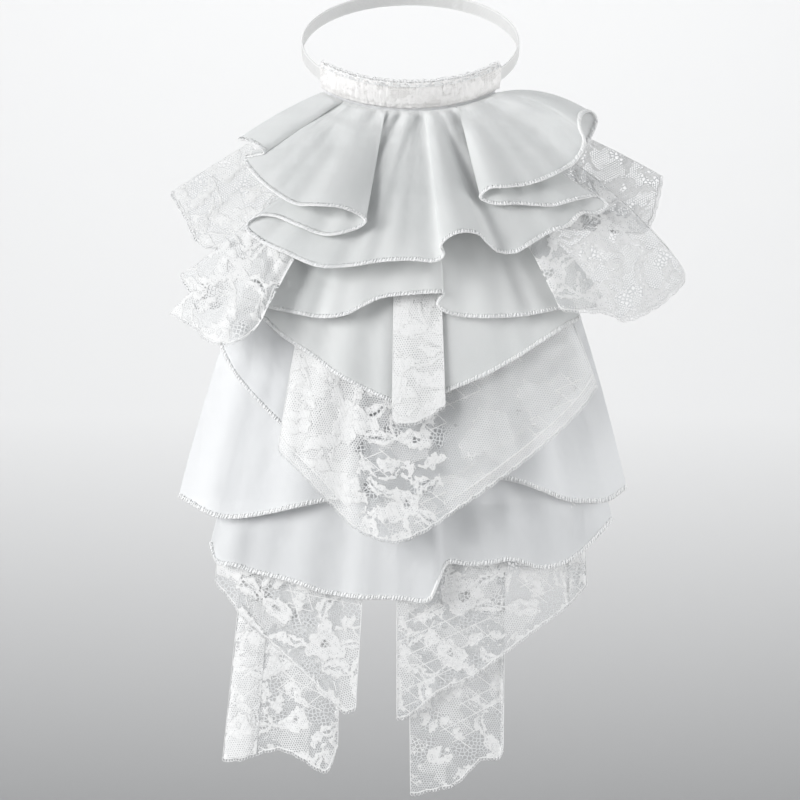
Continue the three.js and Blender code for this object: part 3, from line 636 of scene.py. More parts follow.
def add_fields(piece, fields):
    """Keeps a value of each name at each point of the piece."""
    for name, values in fields.items():
        attribute = piece.data.attributes.new(name, "FLOAT", "POINT")
        attribute.data.foreach_set("value", values.astype(np.float32).ravel())


def cloth_piece(name, cloth, material):
    """A cloth as one mesh that keeps its flat cut."""
    columns, rows = cloth.grid.shape[:2]
    piece = new_piece(name, [(cloth.grid, grid_faces(columns, rows).tolist(), material)])
    add_flat_map(piece, cloth.flat)
    return piece


def surface_normals(grid):
    """Unit normals of a grid, towards the front where the cloth lies face out."""
    down = np.gradient(grid, axis=1)
    side = np.gradient(grid, axis=0)
    normal = np.cross(down, side)
    return normal / np.maximum(np.linalg.norm(normal, axis=-1, keepdims=True), 1e-9)


# %% Tube along a line
def unit(vectors):
    """The same directions, each one long."""
    return vectors / np.maximum(np.linalg.norm(vectors, axis=-1, keepdims=True), 1e-9)


def tube_faces(stations, corners):
    """Faces round a tube, with a cap at both ends."""
    last = (stations - 1) * corners
    caps = [list(range(corners))[::-1], [last + corner for corner in range(corners)]]
    return grid_faces(stations, corners, closed=True).tolist() + caps


def tube(path, widths, sides, across=None):
    """Points and faces of a closed tube. widths: half sizes across and through the path."""
    path = np.asarray(path, float)
    forward = unit(np.gradient(path, axis=0))
    if across is None:
        lean = np.where(np.abs(forward[:, :1]) > 0.9, [[0.0, 0, 1]], [[1.0, 0, 0]])
        across = unit(np.cross(forward, lean))
    else:
        across = unit(across - (across * forward).sum(-1, keepdims=True) * forward)
    through = np.cross(forward, across)
    angle = 2 * math.pi * np.arange(sides) / sides
    ring = (np.cos(angle)[None, :, None] * across[:, None] * widths[0]
            + np.sin(angle)[None, :, None] * through[:, None] * widths[1])
    return (path[:, None] + ring).reshape(-1, 3), tube_faces(len(path), sides)


def signed_power(value, power):
    """A power that keeps the sign of the value."""
    return np.sign(value) * np.abs(value) ** power


def soft_box(corners, out_power, up_power):
    """A rounded box section: its corners outwards and upwards, each between -1 and 1."""
    turn = 2 * math.pi * np.arange(corners) / corners
    return signed_power(np.cos(turn), out_power), signed_power(np.sin(turn), up_power)


def at_steps(values, along, steps):
    """Values of a line's points, read at other steps along it."""
    return np.stack([np.interp(steps, along, values[:, axis]) for axis in range(3)], axis=-1)


def even_steps(along, spacing):
    """Evenly spaced steps along a line, about the spacing apart."""
    count = max(2, int(round(along[-1] / spacing)) + 1)
    return np.linspace(0, along[-1], count)


def resample(points, spacing):
    """The same line with even steps."""
    along = distance_along(points)
    return at_steps(points, along, even_steps(along, spacing))


# %% [markdown]
# ## Shared finishes
# The weave, the net and the soft change of white are each one node group, used by several
# materials with their own values. The weave and the net take the flat cut map, so they never slide
# on the cloth; the soft change of white follows the mesh's own coordinates.

# %% Node helpers
def node_group(name, inputs, outputs):
    """A shader group with named sockets. inputs: name, kind, value. outputs: name, kind."""
    group = bpy.data.node_groups.new(name, "ShaderNodeTree")
    for socket_name, kind, value in inputs:
        socket = group.interface.new_socket(socket_name, in_out="INPUT", socket_type=kind)
        if value is not None:
            socket.default_value = value
    for socket_name, kind in outputs:
        group.interface.new_socket(socket_name, in_out="OUTPUT", socket_type=kind)
    return group, group.nodes.new("NodeGroupInput"), group.nodes.new("NodeGroupOutput")


def feed(tree, socket, value):
    """Links a socket to another socket, or sets it to a plain value."""
    if isinstance(value, bpy.types.NodeSocket):
        tree.links.new(value, socket)
    elif value is not None:
        socket.default_value = value


def math_node(tree, operation, *values):
    """One operation on plain values or sockets."""
    node = tree.nodes.new("ShaderNodeMath")
    node.operation = operation
    for socket, value in zip(node.inputs, values):
        feed(tree, socket, value)
    return node.outputs[0]


def vector_node(tree, operation, *values):
    """One operation on vectors. A length or a dot product comes out as a value."""
    node = tree.nodes.new("ShaderNodeVectorMath")
    node.operation = operation
    for socket, value in zip(node.inputs, values):
        feed(tree, socket, value)
    return node.outputs["Value"] if operation in ("DOT_PRODUCT", "LENGTH") else node.outputs[0]


# %% Steps, maps and mixes
def ramp(tree, value, low, high, to_low=0.0, to_high=1.0):
    """A soft step of a value from one level to another."""
    node = tree.nodes.new("ShaderNodeMapRange")
    node.interpolation_type = "SMOOTHSTEP"
    for name, level in (("Value", value), ("From Min", low), ("From Max", high),
                        ("To Min", to_low), ("To Max", to_high)):
        feed(tree, node.inputs[name], level)
    return node.outputs["Result"]


def use_group(tree, group, values):
    """A group put to use in a tree, with values or sockets by name."""
    node = tree.nodes.new("ShaderNodeGroup")
    node.node_tree = group
    for name, value in values.items():
        feed(tree, node.inputs[name], value)
    return node


def flat_map(tree):
    """Places on the flat cut."""
    node = tree.nodes.new("ShaderNodeUVMap")
    node.uv_map = "flat_cut"
    return node.outputs[0]


def scaled(tree, vector, scale):
    """A vector made longer by a value that may itself come from a socket."""
    node = tree.nodes.new("ShaderNodeVectorMath")
    node.operation = "SCALE"
    feed(tree, node.inputs[0], vector)
    feed(tree, node.inputs["Scale"], scale)
    return node.outputs[0]


def separated(tree, vector):
    """The outputs X, Y and Z of a vector."""
    node = tree.nodes.new("ShaderNodeSeparateXYZ")
    tree.links.new(vector, node.inputs[0])
    return node.outputs


def mixed(tree, kind, share, low, high):
    """A colour or a vector between two others. kind: RGBA or VECTOR."""
    node = tree.nodes.new("ShaderNodeMix")
    node.data_type = kind
    for name, value in (("Factor", share), ("A", low), ("B", high)):
        feed(tree, node.inputs[name], value)
    return node.outputs["Result"]


# %% Plain weave: threads over and under each other
PER_METRE = 1000
TURN = 2 * math.pi
GAP_LEVELS = (-0.85, -0.1)
weave_group, weave_in, weave_out = node_group(
    "plain_weave",
    [("Flat Cut", "NodeSocketVector", None), ("Thread Pitch", "NodeSocketFloat", 0.5)],
    [("Height", "NodeSocketFloat"), ("Thread Cover", "NodeSocketFloat")],
)
weave_scale = math_node(weave_group, "DIVIDE", PER_METRE * TURN, weave_in.outputs["Thread Pitch"])
weave_at = separated(weave_group, scaled(weave_group, weave_in.outputs["Flat Cut"], weave_scale))
warp = math_node(weave_group, "SINE", weave_at["X"])
weft = math_node(weave_group, "SINE", weave_at["Y"])
crossing = math_node(weave_group, "MULTIPLY", warp, weft)
weave_group.links.new(crossing, weave_out.inputs["Height"])
either = math_node(weave_group, "MAXIMUM", warp, weft)
cover = ramp(weave_group, either, *GAP_LEVELS)
weave_group.links.new(cover, weave_out.inputs["Thread Cover"])
print("nodes in the weave:", len(weave_group.nodes))

# %% [markdown]
# Bobbin net is a mesh of six-sided holes. Each point is measured from the middle of its own cell:
# two offset square lattices are folded back on themselves, the nearer centre wins, and the
# distance to the cell's wall is what is left of half a cell.

# %% Six-sided net
net_group, net_in, net_out = node_group(
    "six_sided_net",
    [
        ("Flat Cut", "NodeSocketVector", None),
        ("Cell", "NodeSocketFloat", 1.5),
        ("Thread", "NodeSocketFloat", 0.3),
    ],
    [("Thread Cover", "NodeSocketFloat"), ("Height", "NodeSocketFloat")],
)
CELL_ROOT = math.sqrt(3)
LATTICE = (1.0, CELL_ROOT, 1.0)
HALF_LATTICE = (0.5, CELL_ROOT / 2, 0.0)
ALL_POSITIVE = (400.0, 400.0 * CELL_ROOT, 0.0)
net_scale = math_node(net_group, "DIVIDE", PER_METRE, net_in.outputs["Cell"])
net_place = scaled(net_group, net_in.outputs["Flat Cut"], net_scale)
net_place = vector_node(net_group, "ADD", net_place, ALL_POSITIVE)


def folded_cell(tree, place):
    """Place within its own lattice cell, measured from the cell's middle."""
    wrapped = vector_node(tree, "MODULO", place, LATTICE)
    return vector_node(tree, "SUBTRACT", wrapped, HALF_LATTICE)


first_cell = folded_cell(net_group, net_place)
second_cell = folded_cell(net_group, vector_node(net_group, "SUBTRACT", net_place, HALF_LATTICE))
nearer = math_node(
    net_group, "LESS_THAN",
    vector_node(net_group, "LENGTH", first_cell),
    vector_node(net_group, "LENGTH", second_cell),
)
nearest_cell = mixed(net_group, "VECTOR", nearer, second_cell, first_cell)
cell_place = vector_node(net_group, "ABSOLUTE", nearest_cell)
slanted = vector_node(net_group, "DOT_PRODUCT", cell_place, HALF_LATTICE)
from_middle = math_node(net_group, "MAXIMUM", separated(net_group, cell_place)["X"], slanted)
to_wall = math_node(net_group, "SUBTRACT", 0.5, from_middle)
thread_share = math_node(net_group, "DIVIDE", net_in.outputs["Thread"], net_in.outputs["Cell"])
SOFT_EDGE = 0.75
half_thread = math_node(net_group, "MULTIPLY", thread_share, 0.5)
outer_thread = math_node(net_group, "MULTIPLY", thread_share, SOFT_EDGE)
net_cover = ramp(net_group, to_wall, half_thread, outer_thread, 1.0, 0.0)
net_group.links.new(net_cover, net_out.inputs["Thread Cover"])
net_round = ramp(net_group, to_wall, 0.0, outer_thread, 1.0, 0.0)
net_group.links.new(net_round, net_out.inputs["Height"])
print("nodes in the net:", len(net_group.nodes))

# %% Soft change of white over the cloth
tint_group, tint_in, tint_out = node_group(
    "soft_tint",
    [
        ("Light", "NodeSocketColor", (0.95, 0.95, 0.95, 1)),
        ("Shade", "NodeSocketColor", (0.88, 0.90, 0.92, 1)),
        ("Patch Size", "NodeSocketFloat", 60.0),
    ],
    [("Color", "NodeSocketColor")],
)
TINT_LEVELS = (0.35, 0.65)
tint_place = tint_group.nodes.new("ShaderNodeTexCoord")
tint_noise = tint_group.nodes.new("ShaderNodeTexNoise")
tint_noise.inputs["Detail"].default_value = 3.0
tint_group.links.new(tint_place.outputs["Object"], tint_noise.inputs["Vector"])
patch_scale = math_node(tint_group, "DIVIDE", PER_METRE, tint_in.outputs["Patch Size"])
tint_group.links.new(patch_scale, tint_noise.inputs["Scale"])
tint_share = ramp(tint_group, tint_noise.outputs["Fac"], *TINT_LEVELS)
tint_color = mixed(tint_group, "RGBA", tint_share, tint_in.outputs["Light"], tint_in.outputs["Shade"])
tint_group.links.new(tint_color, tint_out.inputs["Color"])
print("nodes in the tint:", len(tint_group.nodes))

# %% [markdown]
# ## Chiffon
# Chiffon is a sheer, matt-silky plain weave of twisted threads. The tiny gaps between its threads
# let the layer behind show faintly, so the weave cuts the alpha as well as giving the bump. A broad
# soft crumple bends the light over the folds, and a slight sheen brightens glancing angles.

# %% Material helpers
def start_material(name):
    """A material that is one Principled shader."""
    material = bpy.data.materials.new(name)
    material.use_nodes = True
    tree = material.node_tree
    tree.nodes.clear()
    shader = tree.nodes.new("ShaderNodeBsdfPrincipled")
    output = tree.nodes.new("ShaderNodeOutputMaterial")
    tree.links.new(shader.outputs[0], output.inputs["Surface"])
    return material, tree, shader


def chained_bump(tree, height, strength, distance_mm, normal=None):
    """A normal bent by a height, on top of another normal where one is given."""
    bump = tree.nodes.new("ShaderNodeBump")
    bump.inputs["Strength"].default_value = strength
    bump.inputs["Distance"].default_value = distance_mm * MM
    tree.links.new(height, bump.inputs["Height"])
    feed(tree, bump.inputs["Normal"], normal)
    return bump.outputs[0]


def add_bump(tree, shader, height, strength, distance_mm):
    """One bump, straight into the shader."""
    tree.links.new(chained_bump(tree, height, strength, distance_mm), shader.inputs["Normal"])


def dress_threads(shader, roughness, sheen, sheen_roughness=None, specular=None):
    """Roughness and sheen of fibres. What isn't given stays as the shader has it."""
    for name, value in (("Roughness", roughness), ("Sheen Weight", sheen),
                        ("Sheen Roughness", sheen_roughness), ("Specular IOR Level", specular)):
        if value is not None:
            shader.inputs[name].default_value = value


# %% Chiffon material
CRUMPLE_SCALE = 42.0
CRUMPLE_DETAIL = 2.0
CRUMPLE_STRENGTH = 0.6
CRUMPLE_MM = 2.0
WEAVE_STRENGTH = 0.35
WEAVE_MM = 0.12
CHIFFON_PITCH = 0.55
CHIFFON_PATCH = 70.0
CHIFFON_ALPHA = (0.62, 0.93)


def chiffon_material(name, light, shade):
    """Sheer woven cloth, in two whites that pass softly into each other."""
    material, tree, shader = start_material(name)
    weave = use_group(tree, weave_group, {"Flat Cut": flat_map(tree), "Thread Pitch": CHIFFON_PITCH})
    tint = use_group(tree, tint_group, {"Light": light, "Shade": shade, "Patch Size": CHIFFON_PATCH})
    tree.links.new(tint.outputs["Color"], shader.inputs["Base Color"])
    dress_threads(shader, roughness=0.62, sheen=0.25, sheen_roughness=0.4, specular=0.3)
    crumple = tree.nodes.new("ShaderNodeTexNoise")
    crumple.inputs["Scale"].default_value = CRUMPLE_SCALE
    crumple.inputs["Detail"].default_value = CRUMPLE_DETAIL
    tree.links.new(flat_map(tree), crumple.inputs["Vector"])
    soft = chained_bump(tree, crumple.outputs["Fac"], CRUMPLE_STRENGTH, CRUMPLE_MM)
    woven = chained_bump(tree, weave.outputs["Height"], WEAVE_STRENGTH, WEAVE_MM, soft)
    tree.links.new(woven, shader.inputs["Normal"])
    alpha = ramp(tree, weave.outputs["Thread Cover"], 0.0, 1.0, *CHIFFON_ALPHA)
    tree.links.new(alpha, shader.inputs["Alpha"])
    return material


upper_chiffon = chiffon_material("upper_chiffon", (0.845, 0.855, 0.85, 1), (0.785, 0.80, 0.795, 1))
lower_chiffon = chiffon_material("lower_chiffon", (0.82, 0.83, 0.838, 1), (0.78, 0.79, 0.80, 1))
# The v_under and wide tiers are the same chiffon painted lighter: painted light that lifts their shaded
# parts.
v_under_chiffon = chiffon_material("v_under_chiffon", (0.87, 0.88, 0.888, 1), (0.83, 0.84, 0.85, 1))
wide_chiffon = chiffon_material("wide_chiffon", (0.90, 0.91, 0.918, 1), (0.87, 0.88, 0.89, 1))
print("chiffon is opaque from", CHIFFON_ALPHA[0], "in its gaps to", CHIFFON_ALPHA[1], "on its threads")

# %% Thread material for the overlocked hems
THREAD_FLUFF_SCALE = 900.0
THREAD_FLUFF_STRENGTH = 0.3
THREAD_FLUFF_MM = 0.1
roll_material = chiffon_material("rolled_chiffon", (0.905, 0.915, 0.915, 1), (0.88, 0.89, 0.895, 1))
hem_material, hem_tree, hem_shader = start_material("overlock_thread")
hem_noise = hem_tree.nodes.new("ShaderNodeTexNoise")
hem_noise.inputs["Scale"].default_value = THREAD_FLUFF_SCALE
hem_place = hem_tree.nodes.new("ShaderNodeTexCoord")
hem_tree.links.new(hem_place.outputs["Object"], hem_noise.inputs["Vector"])
hem_tint = use_group(hem_tree, tint_group, {
    "Light": (0.945, 0.945, 0.94, 1),
    "Shade": (0.915, 0.92, 0.92, 1),
    "Patch Size": 9.0,
})
hem_tree.links.new(hem_tint.outputs["Color"], hem_shader.inputs["Base Color"])
dress_threads(hem_shader, roughness=0.7, sheen=0.2)
add_bump(hem_tree, hem_shader, hem_noise.outputs["Fac"], THREAD_FLUFF_STRENGTH, THREAD_FLUFF_MM)
print("hem materials:", roll_material.name, "and", hem_material.name)

# %% [markdown]
# ## Overlocked hems
# An overlock seam rolls the raw edge and wraps it in thread. The roll is a flat tube along the
# hem, and the wrapping is one long thread that turns round it, so the ticks that catch the light
# are real geometry.

# %% Hem roll and wrapping thread
HEM_THICKNESS = 0.62
HEM_CORNERS = 10
STITCH_PITCH = 1.8
STITCH_THREAD = 0.56
STITCH_SINK = 0.36
STITCH_CORNERS = 6
STITCH_SLACK = 0.38
STITCH_SLACK_WAVES = (15, 37)
EDGE_THREAD = 0.47
ROLL_SPACING = 1.4


def hem_line(cloth, spacing):
    """Even points along the hem, with the way up the cloth and out of it at each."""
    grid = cloth.grid
    edge = grid[:, -1]
    inward = unit(grid[:, -3] - edge)
    outward = surface_normals(grid)[:, -1]
    along = distance_along(edge)
    steps = even_steps(along, spacing)
    line, inward, outward = [at_steps(values, along, steps) for values in (edge, inward, outward)]
    return line, unit(inward), unit(outward)


def overlock(name, cloth, width):
    """A rolled hem, the thread wrapped round it, and the thread that runs along its edge."""
    roll_line, roll_in, _ = hem_line(cloth, ROLL_SPACING)
    middle = roll_line + roll_in * width / 2
    edge, inward, outward = hem_line(cloth, STITCH_PITCH / STITCH_CORNERS)
    steps = np.arange(len(edge), dtype=float)
    slack = STITCH_SLACK * waves(steps, STITCH_SLACK_WAVES, 7)
    turn = 2 * math.pi * (steps / STITCH_CORNERS + slack)[:, None]
    stand = STITCH_THREAD - STITCH_SINK
    wrap = (edge + inward * (width / 2 - (width / 2 + stand) * np.cos(turn))
            + outward * (HEM_THICKNESS / 2 + stand) * np.sin(turn))
    return new_piece(name, [
        (*tube(middle, (width / 2, HEM_THICKNESS / 2), HEM_CORNERS, across=roll_in), roll_material),
        (*tube(wrap, (STITCH_THREAD, STITCH_THREAD), 4), hem_material),
        (*tube(edge[::2], (EDGE_THREAD, EDGE_THREAD), 3), hem_material),
    ])


# %% The chiffon tiers
Tier = namedtuple("Tier", "node table spacing rows flare material hem gathers")
TIERS = [
    Tier("top_ruffle", TOP_RUFFLE, 1.5, 60, 1, upper_chiffon, 2.3,
         Gathers(2.9, (9.5, 16), 44, 1.6, (26, 41), 11)),
    Tier("short_ruffle", SHORT_RUFFLE, 1.8, 44, SIDE_FLARE, upper_chiffon, 2.0,
         Gathers(0.5, (6, 10), 30, 1.2, (23, 37), 21)),
    Tier("v_ruffle", V_RUFFLE, 1.8, 60, SIDE_FLARE, upper_chiffon, 2.0,
         Gathers(0.5, (6, 10), 30, 1.1, (26, 41), 31)),
    Tier("v_under_ruffle", V_UNDER_RUFFLE, 2.0, 70, SIDE_FLARE, v_under_chiffon, 2.1,
         Gathers(0.5, (6, 10), 30, 1.1, (29, 45), 41)),
    Tier("wide_ruffle", WIDE_RUFFLE, 1.8, 90, SIDE_FLARE, wide_chiffon, 2.4,
         Gathers(0.5, (6, 10), 30, 0.7, (34, 53), 51)),
    Tier("long_ruffle", LONG_RUFFLE, 1.8, 110, 1, lower_chiffon, 2.4,
         Gathers(0.5, (6, 10), 30, 1.2, (31, 49), 61)),
]


print("tiers and their hem widths:", ", ".join(f"{tier.node} {tier.hem} mm" for tier in TIERS))


def declare_sheet(node):
    """Hides the solid that the piece stands for."""
    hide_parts(node)


# %% Hang the tiers
for tier in TIERS:
    tier_cloth = hang_layer(tier.node, tier.table, tier.spacing, tier.rows, tier.flare, tier.gathers)
    tier_piece = cloth_piece(tier.node + "_cloth", tier_cloth, tier.material)
    tier_hem = overlock(tier.node + "_overlock", tier_cloth, tier.hem)
    declare_sheet(tier.node)

# %% [markdown]
# ## The floral repeat
# The lace is a common floral pattern: open flowers with leaves, curling stems, patches of half
# stitch, clusters of round holes and crossed threads, all on net. A drawn repeat could be painted
# as a picture, but a picture has pixels. Here the repeat is a short chart in millimetres. Every
# point of the cloth gets its distance to the nearest flower or leaf, and the material cuts that
# distance into solid lace, raised outline and net, sharp at any size.

# %% Chart of the repeat
Flower = namedtuple("Flower", "s t petals reach turn")
Leaf = namedtuple("Leaf", "s t angle length width")
Stem = namedtuple("Stem", "s t angle length bend")
Patch = namedtuple("Patch", "s t radius")
REPEAT_WIDTH = 78
REPEAT_HEIGHT = 86
FLOWERS = [
    Flower(19, 21, 6, 13.5, 10), Flower(57, 60, 7, 12.5, 30), Flower(58, 17, 5, 9.5, 45),
    Flower(17, 66, 5, 10.5, 20), Flower(38, 40, 5, 7.0, 0),
]
LEAVES = [
    Leaf(36, 12, 15, 21, 9), Leaf(32, 30, 48, 19, 8.5), Leaf(6, 39, 115, 20, 9),
    Leaf(1, 12, 205, 18, 8.5), Leaf(41, 71, 155, 20, 9), Leaf(71, 74, 55, 18, 8.5),
    Leaf(74, 50, -25, 21, 9), Leaf(42, 53, 220, 18, 8), Leaf(50, 32, 75, 16, 7.5),
    Leaf(67, 33, 110, 16, 7.5), Leaf(28, 57, -20, 16, 7.5), Leaf(3, 78, 130, 16, 7.5),
    Leaf(31, 78, 30, 16, 7), Leaf(45, 1, 160, 16, 7), Leaf(73, 2, 25, 15, 7),
    Leaf(22, 44, 85, 14, 6.5), Leaf(60, 39, 20, 13, 6), Leaf(58, 80, -40, 13, 6),
]
STEMS = [
    Stem(26, 36, 60, 34, 8), Stem(58, 38, 95, 28, -7), Stem(9, 47, 75, 28, 7), Stem(66, 82, 20, 26, -7),
    Stem(40, 84, 170, 30, 7), Stem(48, 21, 130, 22, 5), Stem(31, 47, -15, 24, -6), Stem(12, 5, 60, 22, 6),
]
HOLE_PATCHES = [
    Patch(45, 42, 9), Patch(14, 52, 7.5), Patch(74, 21, 8), Patch(34, 64, 6.5), Patch(64, 72, 6),
    Patch(44, 20, 6.5), Patch(7, 28, 6), Patch(24, 2, 7),
]
HALF_STITCH_PATCHES = [Patch(28, 24, 17), Patch(62, 52, 17), Patch(12, 72, 14), Patch(56, 8, 13)]
CROSSED_PATCHES = [Patch(2, 56, 15), Patch(68, 34, 12), Patch(36, 84, 10)]
FLOWER_EYE = 0.24
FLOWER_EYES = [Patch(flower.s, flower.t, flower.reach * FLOWER_EYE) for flower in FLOWERS]
print("charted flowers, leaves and stems:", len(FLOWERS), len(LEAVES), len(STEMS))

# %% Distances to flowers and leaves
PETAL_REACH = (1.0, 0.82, 1.12, 0.9, 1.06, 0.78, 0.96)
PETAL_MIDDLE = 0.56
PETAL_HALF_LENGTH = 0.46
PETAL_MOST_WIDTH = 0.46
PETAL_ROOM = 2.3
LEAF_CURVE = 0.42
LEAF_NOTCH_DEPTH = 0.7
LEAF_NOTCH_PITCH = 3.9
LEAF_SLOPE = 0.85
LEAF_SLIT = 0.15
SLIT_SHORTENING = 0.3
SLIT_LEAF_WIDTH = 8.0
FAR = 30.0


def from_place(flat, place):
    """Offsets to the nearest copy of a charted place."""
    across = (flat[..., 0] - place.s + REPEAT_WIDTH / 2) % REPEAT_WIDTH - REPEAT_WIDTH / 2
    up = (flat[..., 1] - place.t + REPEAT_HEIGHT / 2) % REPEAT_HEIGHT - REPEAT_HEIGHT / 2
    return across, up


def turned(across, up, degrees):
    """Offsets along and across a direction."""
    angle = math.radians(degrees)
    return (across * math.cos(angle) + up * math.sin(angle),
            up * math.cos(angle) - across * math.sin(angle))


def oval_distance(a, b, half_long, half_wide):
    """About the distance to an oval, negative inside."""
    near = np.hypot(a / half_long, b / half_wide)
    slope = np.hypot(a / half_long ** 2, b / half_wide ** 2)
    return near * (near - 1) / np.maximum(slope, 1e-6)


def flower_distances(flat, flower):
    """Distance to each petal, negative inside."""
    across, up = from_place(flat, flower)
    found = []
    for petal in range(flower.petals):
        a, b = turned(across, up, flower.turn + 360 * petal / flower.petals)
        reach = flower.reach * PETAL_REACH[petal]
        wide = reach * min(PETAL_MOST_WIDTH, PETAL_ROOM / flower.petals)
        found.append(oval_distance(a - reach * PETAL_MIDDLE, b, reach * PETAL_HALF_LENGTH, wide))
    return found


def leaf_distance(flat, leaf):
    """Distance to a curved and notched leaf, and to the open slit down its middle."""
    across, up = from_place(flat, leaf)
    a, b = turned(across, up, leaf.angle)
    half = leaf.length / 2
    curl = b - leaf.width * LEAF_CURVE * np.cos(a * math.pi / leaf.length)
    taper = 1 - (a / half) ** 2
    notch = LEAF_NOTCH_DEPTH * np.sin(a * 2 * math.pi / LEAF_NOTCH_PITCH) * np.sign(curl)
    distance = (np.abs(curl) - leaf.width / 2 * taper - notch) * LEAF_SLOPE
    slit = np.abs(curl) - leaf.width * LEAF_SLIT * (taper - SLIT_SHORTENING)
    return distance, slit if leaf.width > SLIT_LEAF_WIDTH else np.full(a.shape, FAR)


# %% Distances to stems and patches
STEM_HALF_WIDTH = 1.0
STEM_POINTS = 9
PATCH_LOBES = 3
PATCH_UNEVENNESS = 0.22


def stem_distance(flat, stem):
    """Distance to a bent stem, negative inside."""
    across, up = from_place(flat, stem)
    a, b = turned(across, up, stem.angle)
    along = np.linspace(-0.5, 0.5, STEM_POINTS)
    line = [(stem.length * k, stem.bend * (1 - 4 * k * k)) for k in along]
    best = np.full(a.shape, FAR)
    for (a0, b0), (a1, b1) in zip(line, line[1:]):
        da, db = a1 - a0, b1 - b0
        share = np.clip(((a - a0) * da + (b - b0) * db) / (da * da + db * db), 0, 1)
        best = np.minimum(best, np.hypot(a - a0 - share * da, b - b0 - share * db))
    return best - STEM_HALF_WIDTH


def patch_distance(flat, patches):
    """Distance to the nearest of the uneven round patches, negative inside."""
    best = np.full(flat.shape[:-1], FAR)
    for patch in patches:
        across, up = from_place(flat, patch)
        lobes = np.sin(PATCH_LOBES * np.arctan2(up, across) + patch.s)
        edge = patch.radius * (1 + PATCH_UNEVENNESS * lobes)
        best = np.minimum(best, np.hypot(across, up) - edge)
    return best


# %% Fields of the repeat over a cloth
WANDER_WAVES = 7
WANDER_SPREAD = (0.7, 1.4)
# Size, reach and seed of each layer of shifts.
WANDERS = [(27, 1.7, 5), (7.5, 0.6, 6)]


def wander(flat, size, reach, seed):
    """Soft irregular shifts of places on the cloth, as worked threads never lie quite true."""
    random = np.random.default_rng(seed)
    shift = np.zeros(flat.shape)
    for _ in range(WANDER_WAVES):
        angle = random.uniform(0, 2 * math.pi)
        wavelength = size * random.uniform(*WANDER_SPREAD)
        starts = random.uniform(0, 2 * math.pi, 2)
        along = flat[..., 0] * math.cos(angle) + flat[..., 1] * math.sin(angle)
        turns = 2 * math.pi * along / wavelength
        shift += np.sin(turns[..., None] + starts)
    return shift * reach / math.sqrt(WANDER_WAVES)


def lace_fields(flat):
    """Distances that the lace material cuts, at each point of a flat cut in millimetres."""
    flat = flat + sum(wander(flat, *values) for values in WANDERS)
    shapes = []
    for flower in FLOWERS:
        shapes.extend(flower_distances(flat, flower))
    shapes.extend(stem_distance(flat, stem) for stem in STEMS)
    leaves = [leaf_distance(flat, leaf) for leaf in LEAVES]
    shapes.extend(distance for distance, _ in leaves)
    nearest = np.full(flat.shape[:-1], FAR)
    second = nearest.copy()
    for distance in shapes:
        second = np.where(distance < nearest, nearest, np.minimum(second, distance))
        nearest = np.minimum(distance, nearest)
    eyes = patch_distance(flat, FLOWER_EYES)
    for _, slit in leaves:
        eyes = np.minimum(eyes, slit)
    return {
        "flower": nearest,
        "crease": second - nearest,
        "holes": patch_distance(flat, HOLE_PATCHES),
        "eyes": eyes,
        "half_stitch": patch_distance(flat, HALF_STITCH_PATCHES),
        "crossed": patch_distance(flat, CROSSED_PATCHES),
    }


# %% [markdown]
# ## Lace material
# The distances become masks. Flowers, leaves and stems are dense clothwork with fine ribs, their
# outlines are raised threads, half stitch is a net with fatter threads, and hole clusters are
# round holes of uneven size between thin bars. Where the lace lies double or was drawn together,
# its net is closed further. One piece has a border: a strip of plain net behind a chain of small
# stitches. What no thread covers is cut away by alpha, so the layer behind shows through.

# %% Lace as a node group, for the hanging lace and for the band
LACE_VALUES = [
    ("Flower", 9.0), ("Crease", 9.0), ("Holes", 9.0), ("Eyes", 9.0), ("Half Stitch", 9.0),
    ("Crossed", 9.0), ("Edge", 99.0), ("Border", 0.0), ("Closed", 0.0), ("Cell", 1.5),
    ("Thread", 0.4), ("Holes Per Metre", 400.0),
]
lace_group, lace_in, lace_out = node_group(
    "floral_lace",
    [("Flat Cut", "NodeSocketVector", None)]
    + [(name, "NodeSocketFloat", value) for name, value in LACE_VALUES],
    [(name, "NodeSocketFloat") for name in ("Cover", "Height", "Dense")],
)


def chained(tree, operation, masks):
    """One operation over all masks, from the first to the last."""
    total = masks[0]
    for mask in masks[1:]:
        total = math_node(tree, operation, total, mask)
    return total


def both(tree, *masks):
    """Where all masks are."""
    return chained(tree, "MULTIPLY", masks)


def either_of(tree, *masks):
    """Where any of the masks is."""
    return chained(tree, "MAXIMUM", masks)


def but_not(tree, mask, hole):
    """A mask with a hole cut out of it."""
    return math_node(tree, "MULTIPLY", mask, math_node(tree, "SUBTRACT", 1.0, hole))


def inside(tree, distance, softness):
    """One inside a shape and nought outside it."""
    return ramp(tree, distance, -softness, softness, 1.0, 0.0)


def near_line(tree, distance, at, full, none):
    """A line where a distance has one value: full within a half width, gone at a wider one."""
    off = math_node(tree, "ABSOLUTE", math_node(tree, "SUBTRACT", distance, at))
    return ramp(tree, off, full, none, 1.0, 0.0)


def noise_of(tree, place, scale):
    """Soft noise over the flat cut. scale: patches per metre."""
    node = tree.nodes.new("ShaderNodeTexNoise")
    node.noise_dimensions = "2D"
    node.inputs["Scale"].default_value = scale
    node.inputs["Detail"].default_value = 1.0
    tree.links.new(place, node.inputs["Vector"])
    return node


def frayed(tree, place, distance, scale, reach):
    """A distance made uneven, so that the edge it cuts is ragged like worked thread."""
    noise = noise_of(tree, place, scale).outputs["Fac"]
    return math_node(tree, "ADD", distance, math_node(tree, "MULTIPLY_ADD", noise, reach, -reach / 2))


# %% Ragged edges of the charted shapes
lace_flat = lace_in.outputs["Flat Cut"]
FRAYING = [("Flower", 370.0, 2.6), ("Half Stitch", 210.0, 6.0), ("Holes", 210.0, 4.0), ("Eyes", 500.0, 1.2)]
flower_at, half_at, holes_at, eyes_at = [
    frayed(lace_group, lace_flat, lace_in.outputs[name], scale, reach)
    for name, scale, reach in FRAYING
]
edge_at = lace_in.outputs["Edge"]
has_border = lace_in.outputs["Border"]

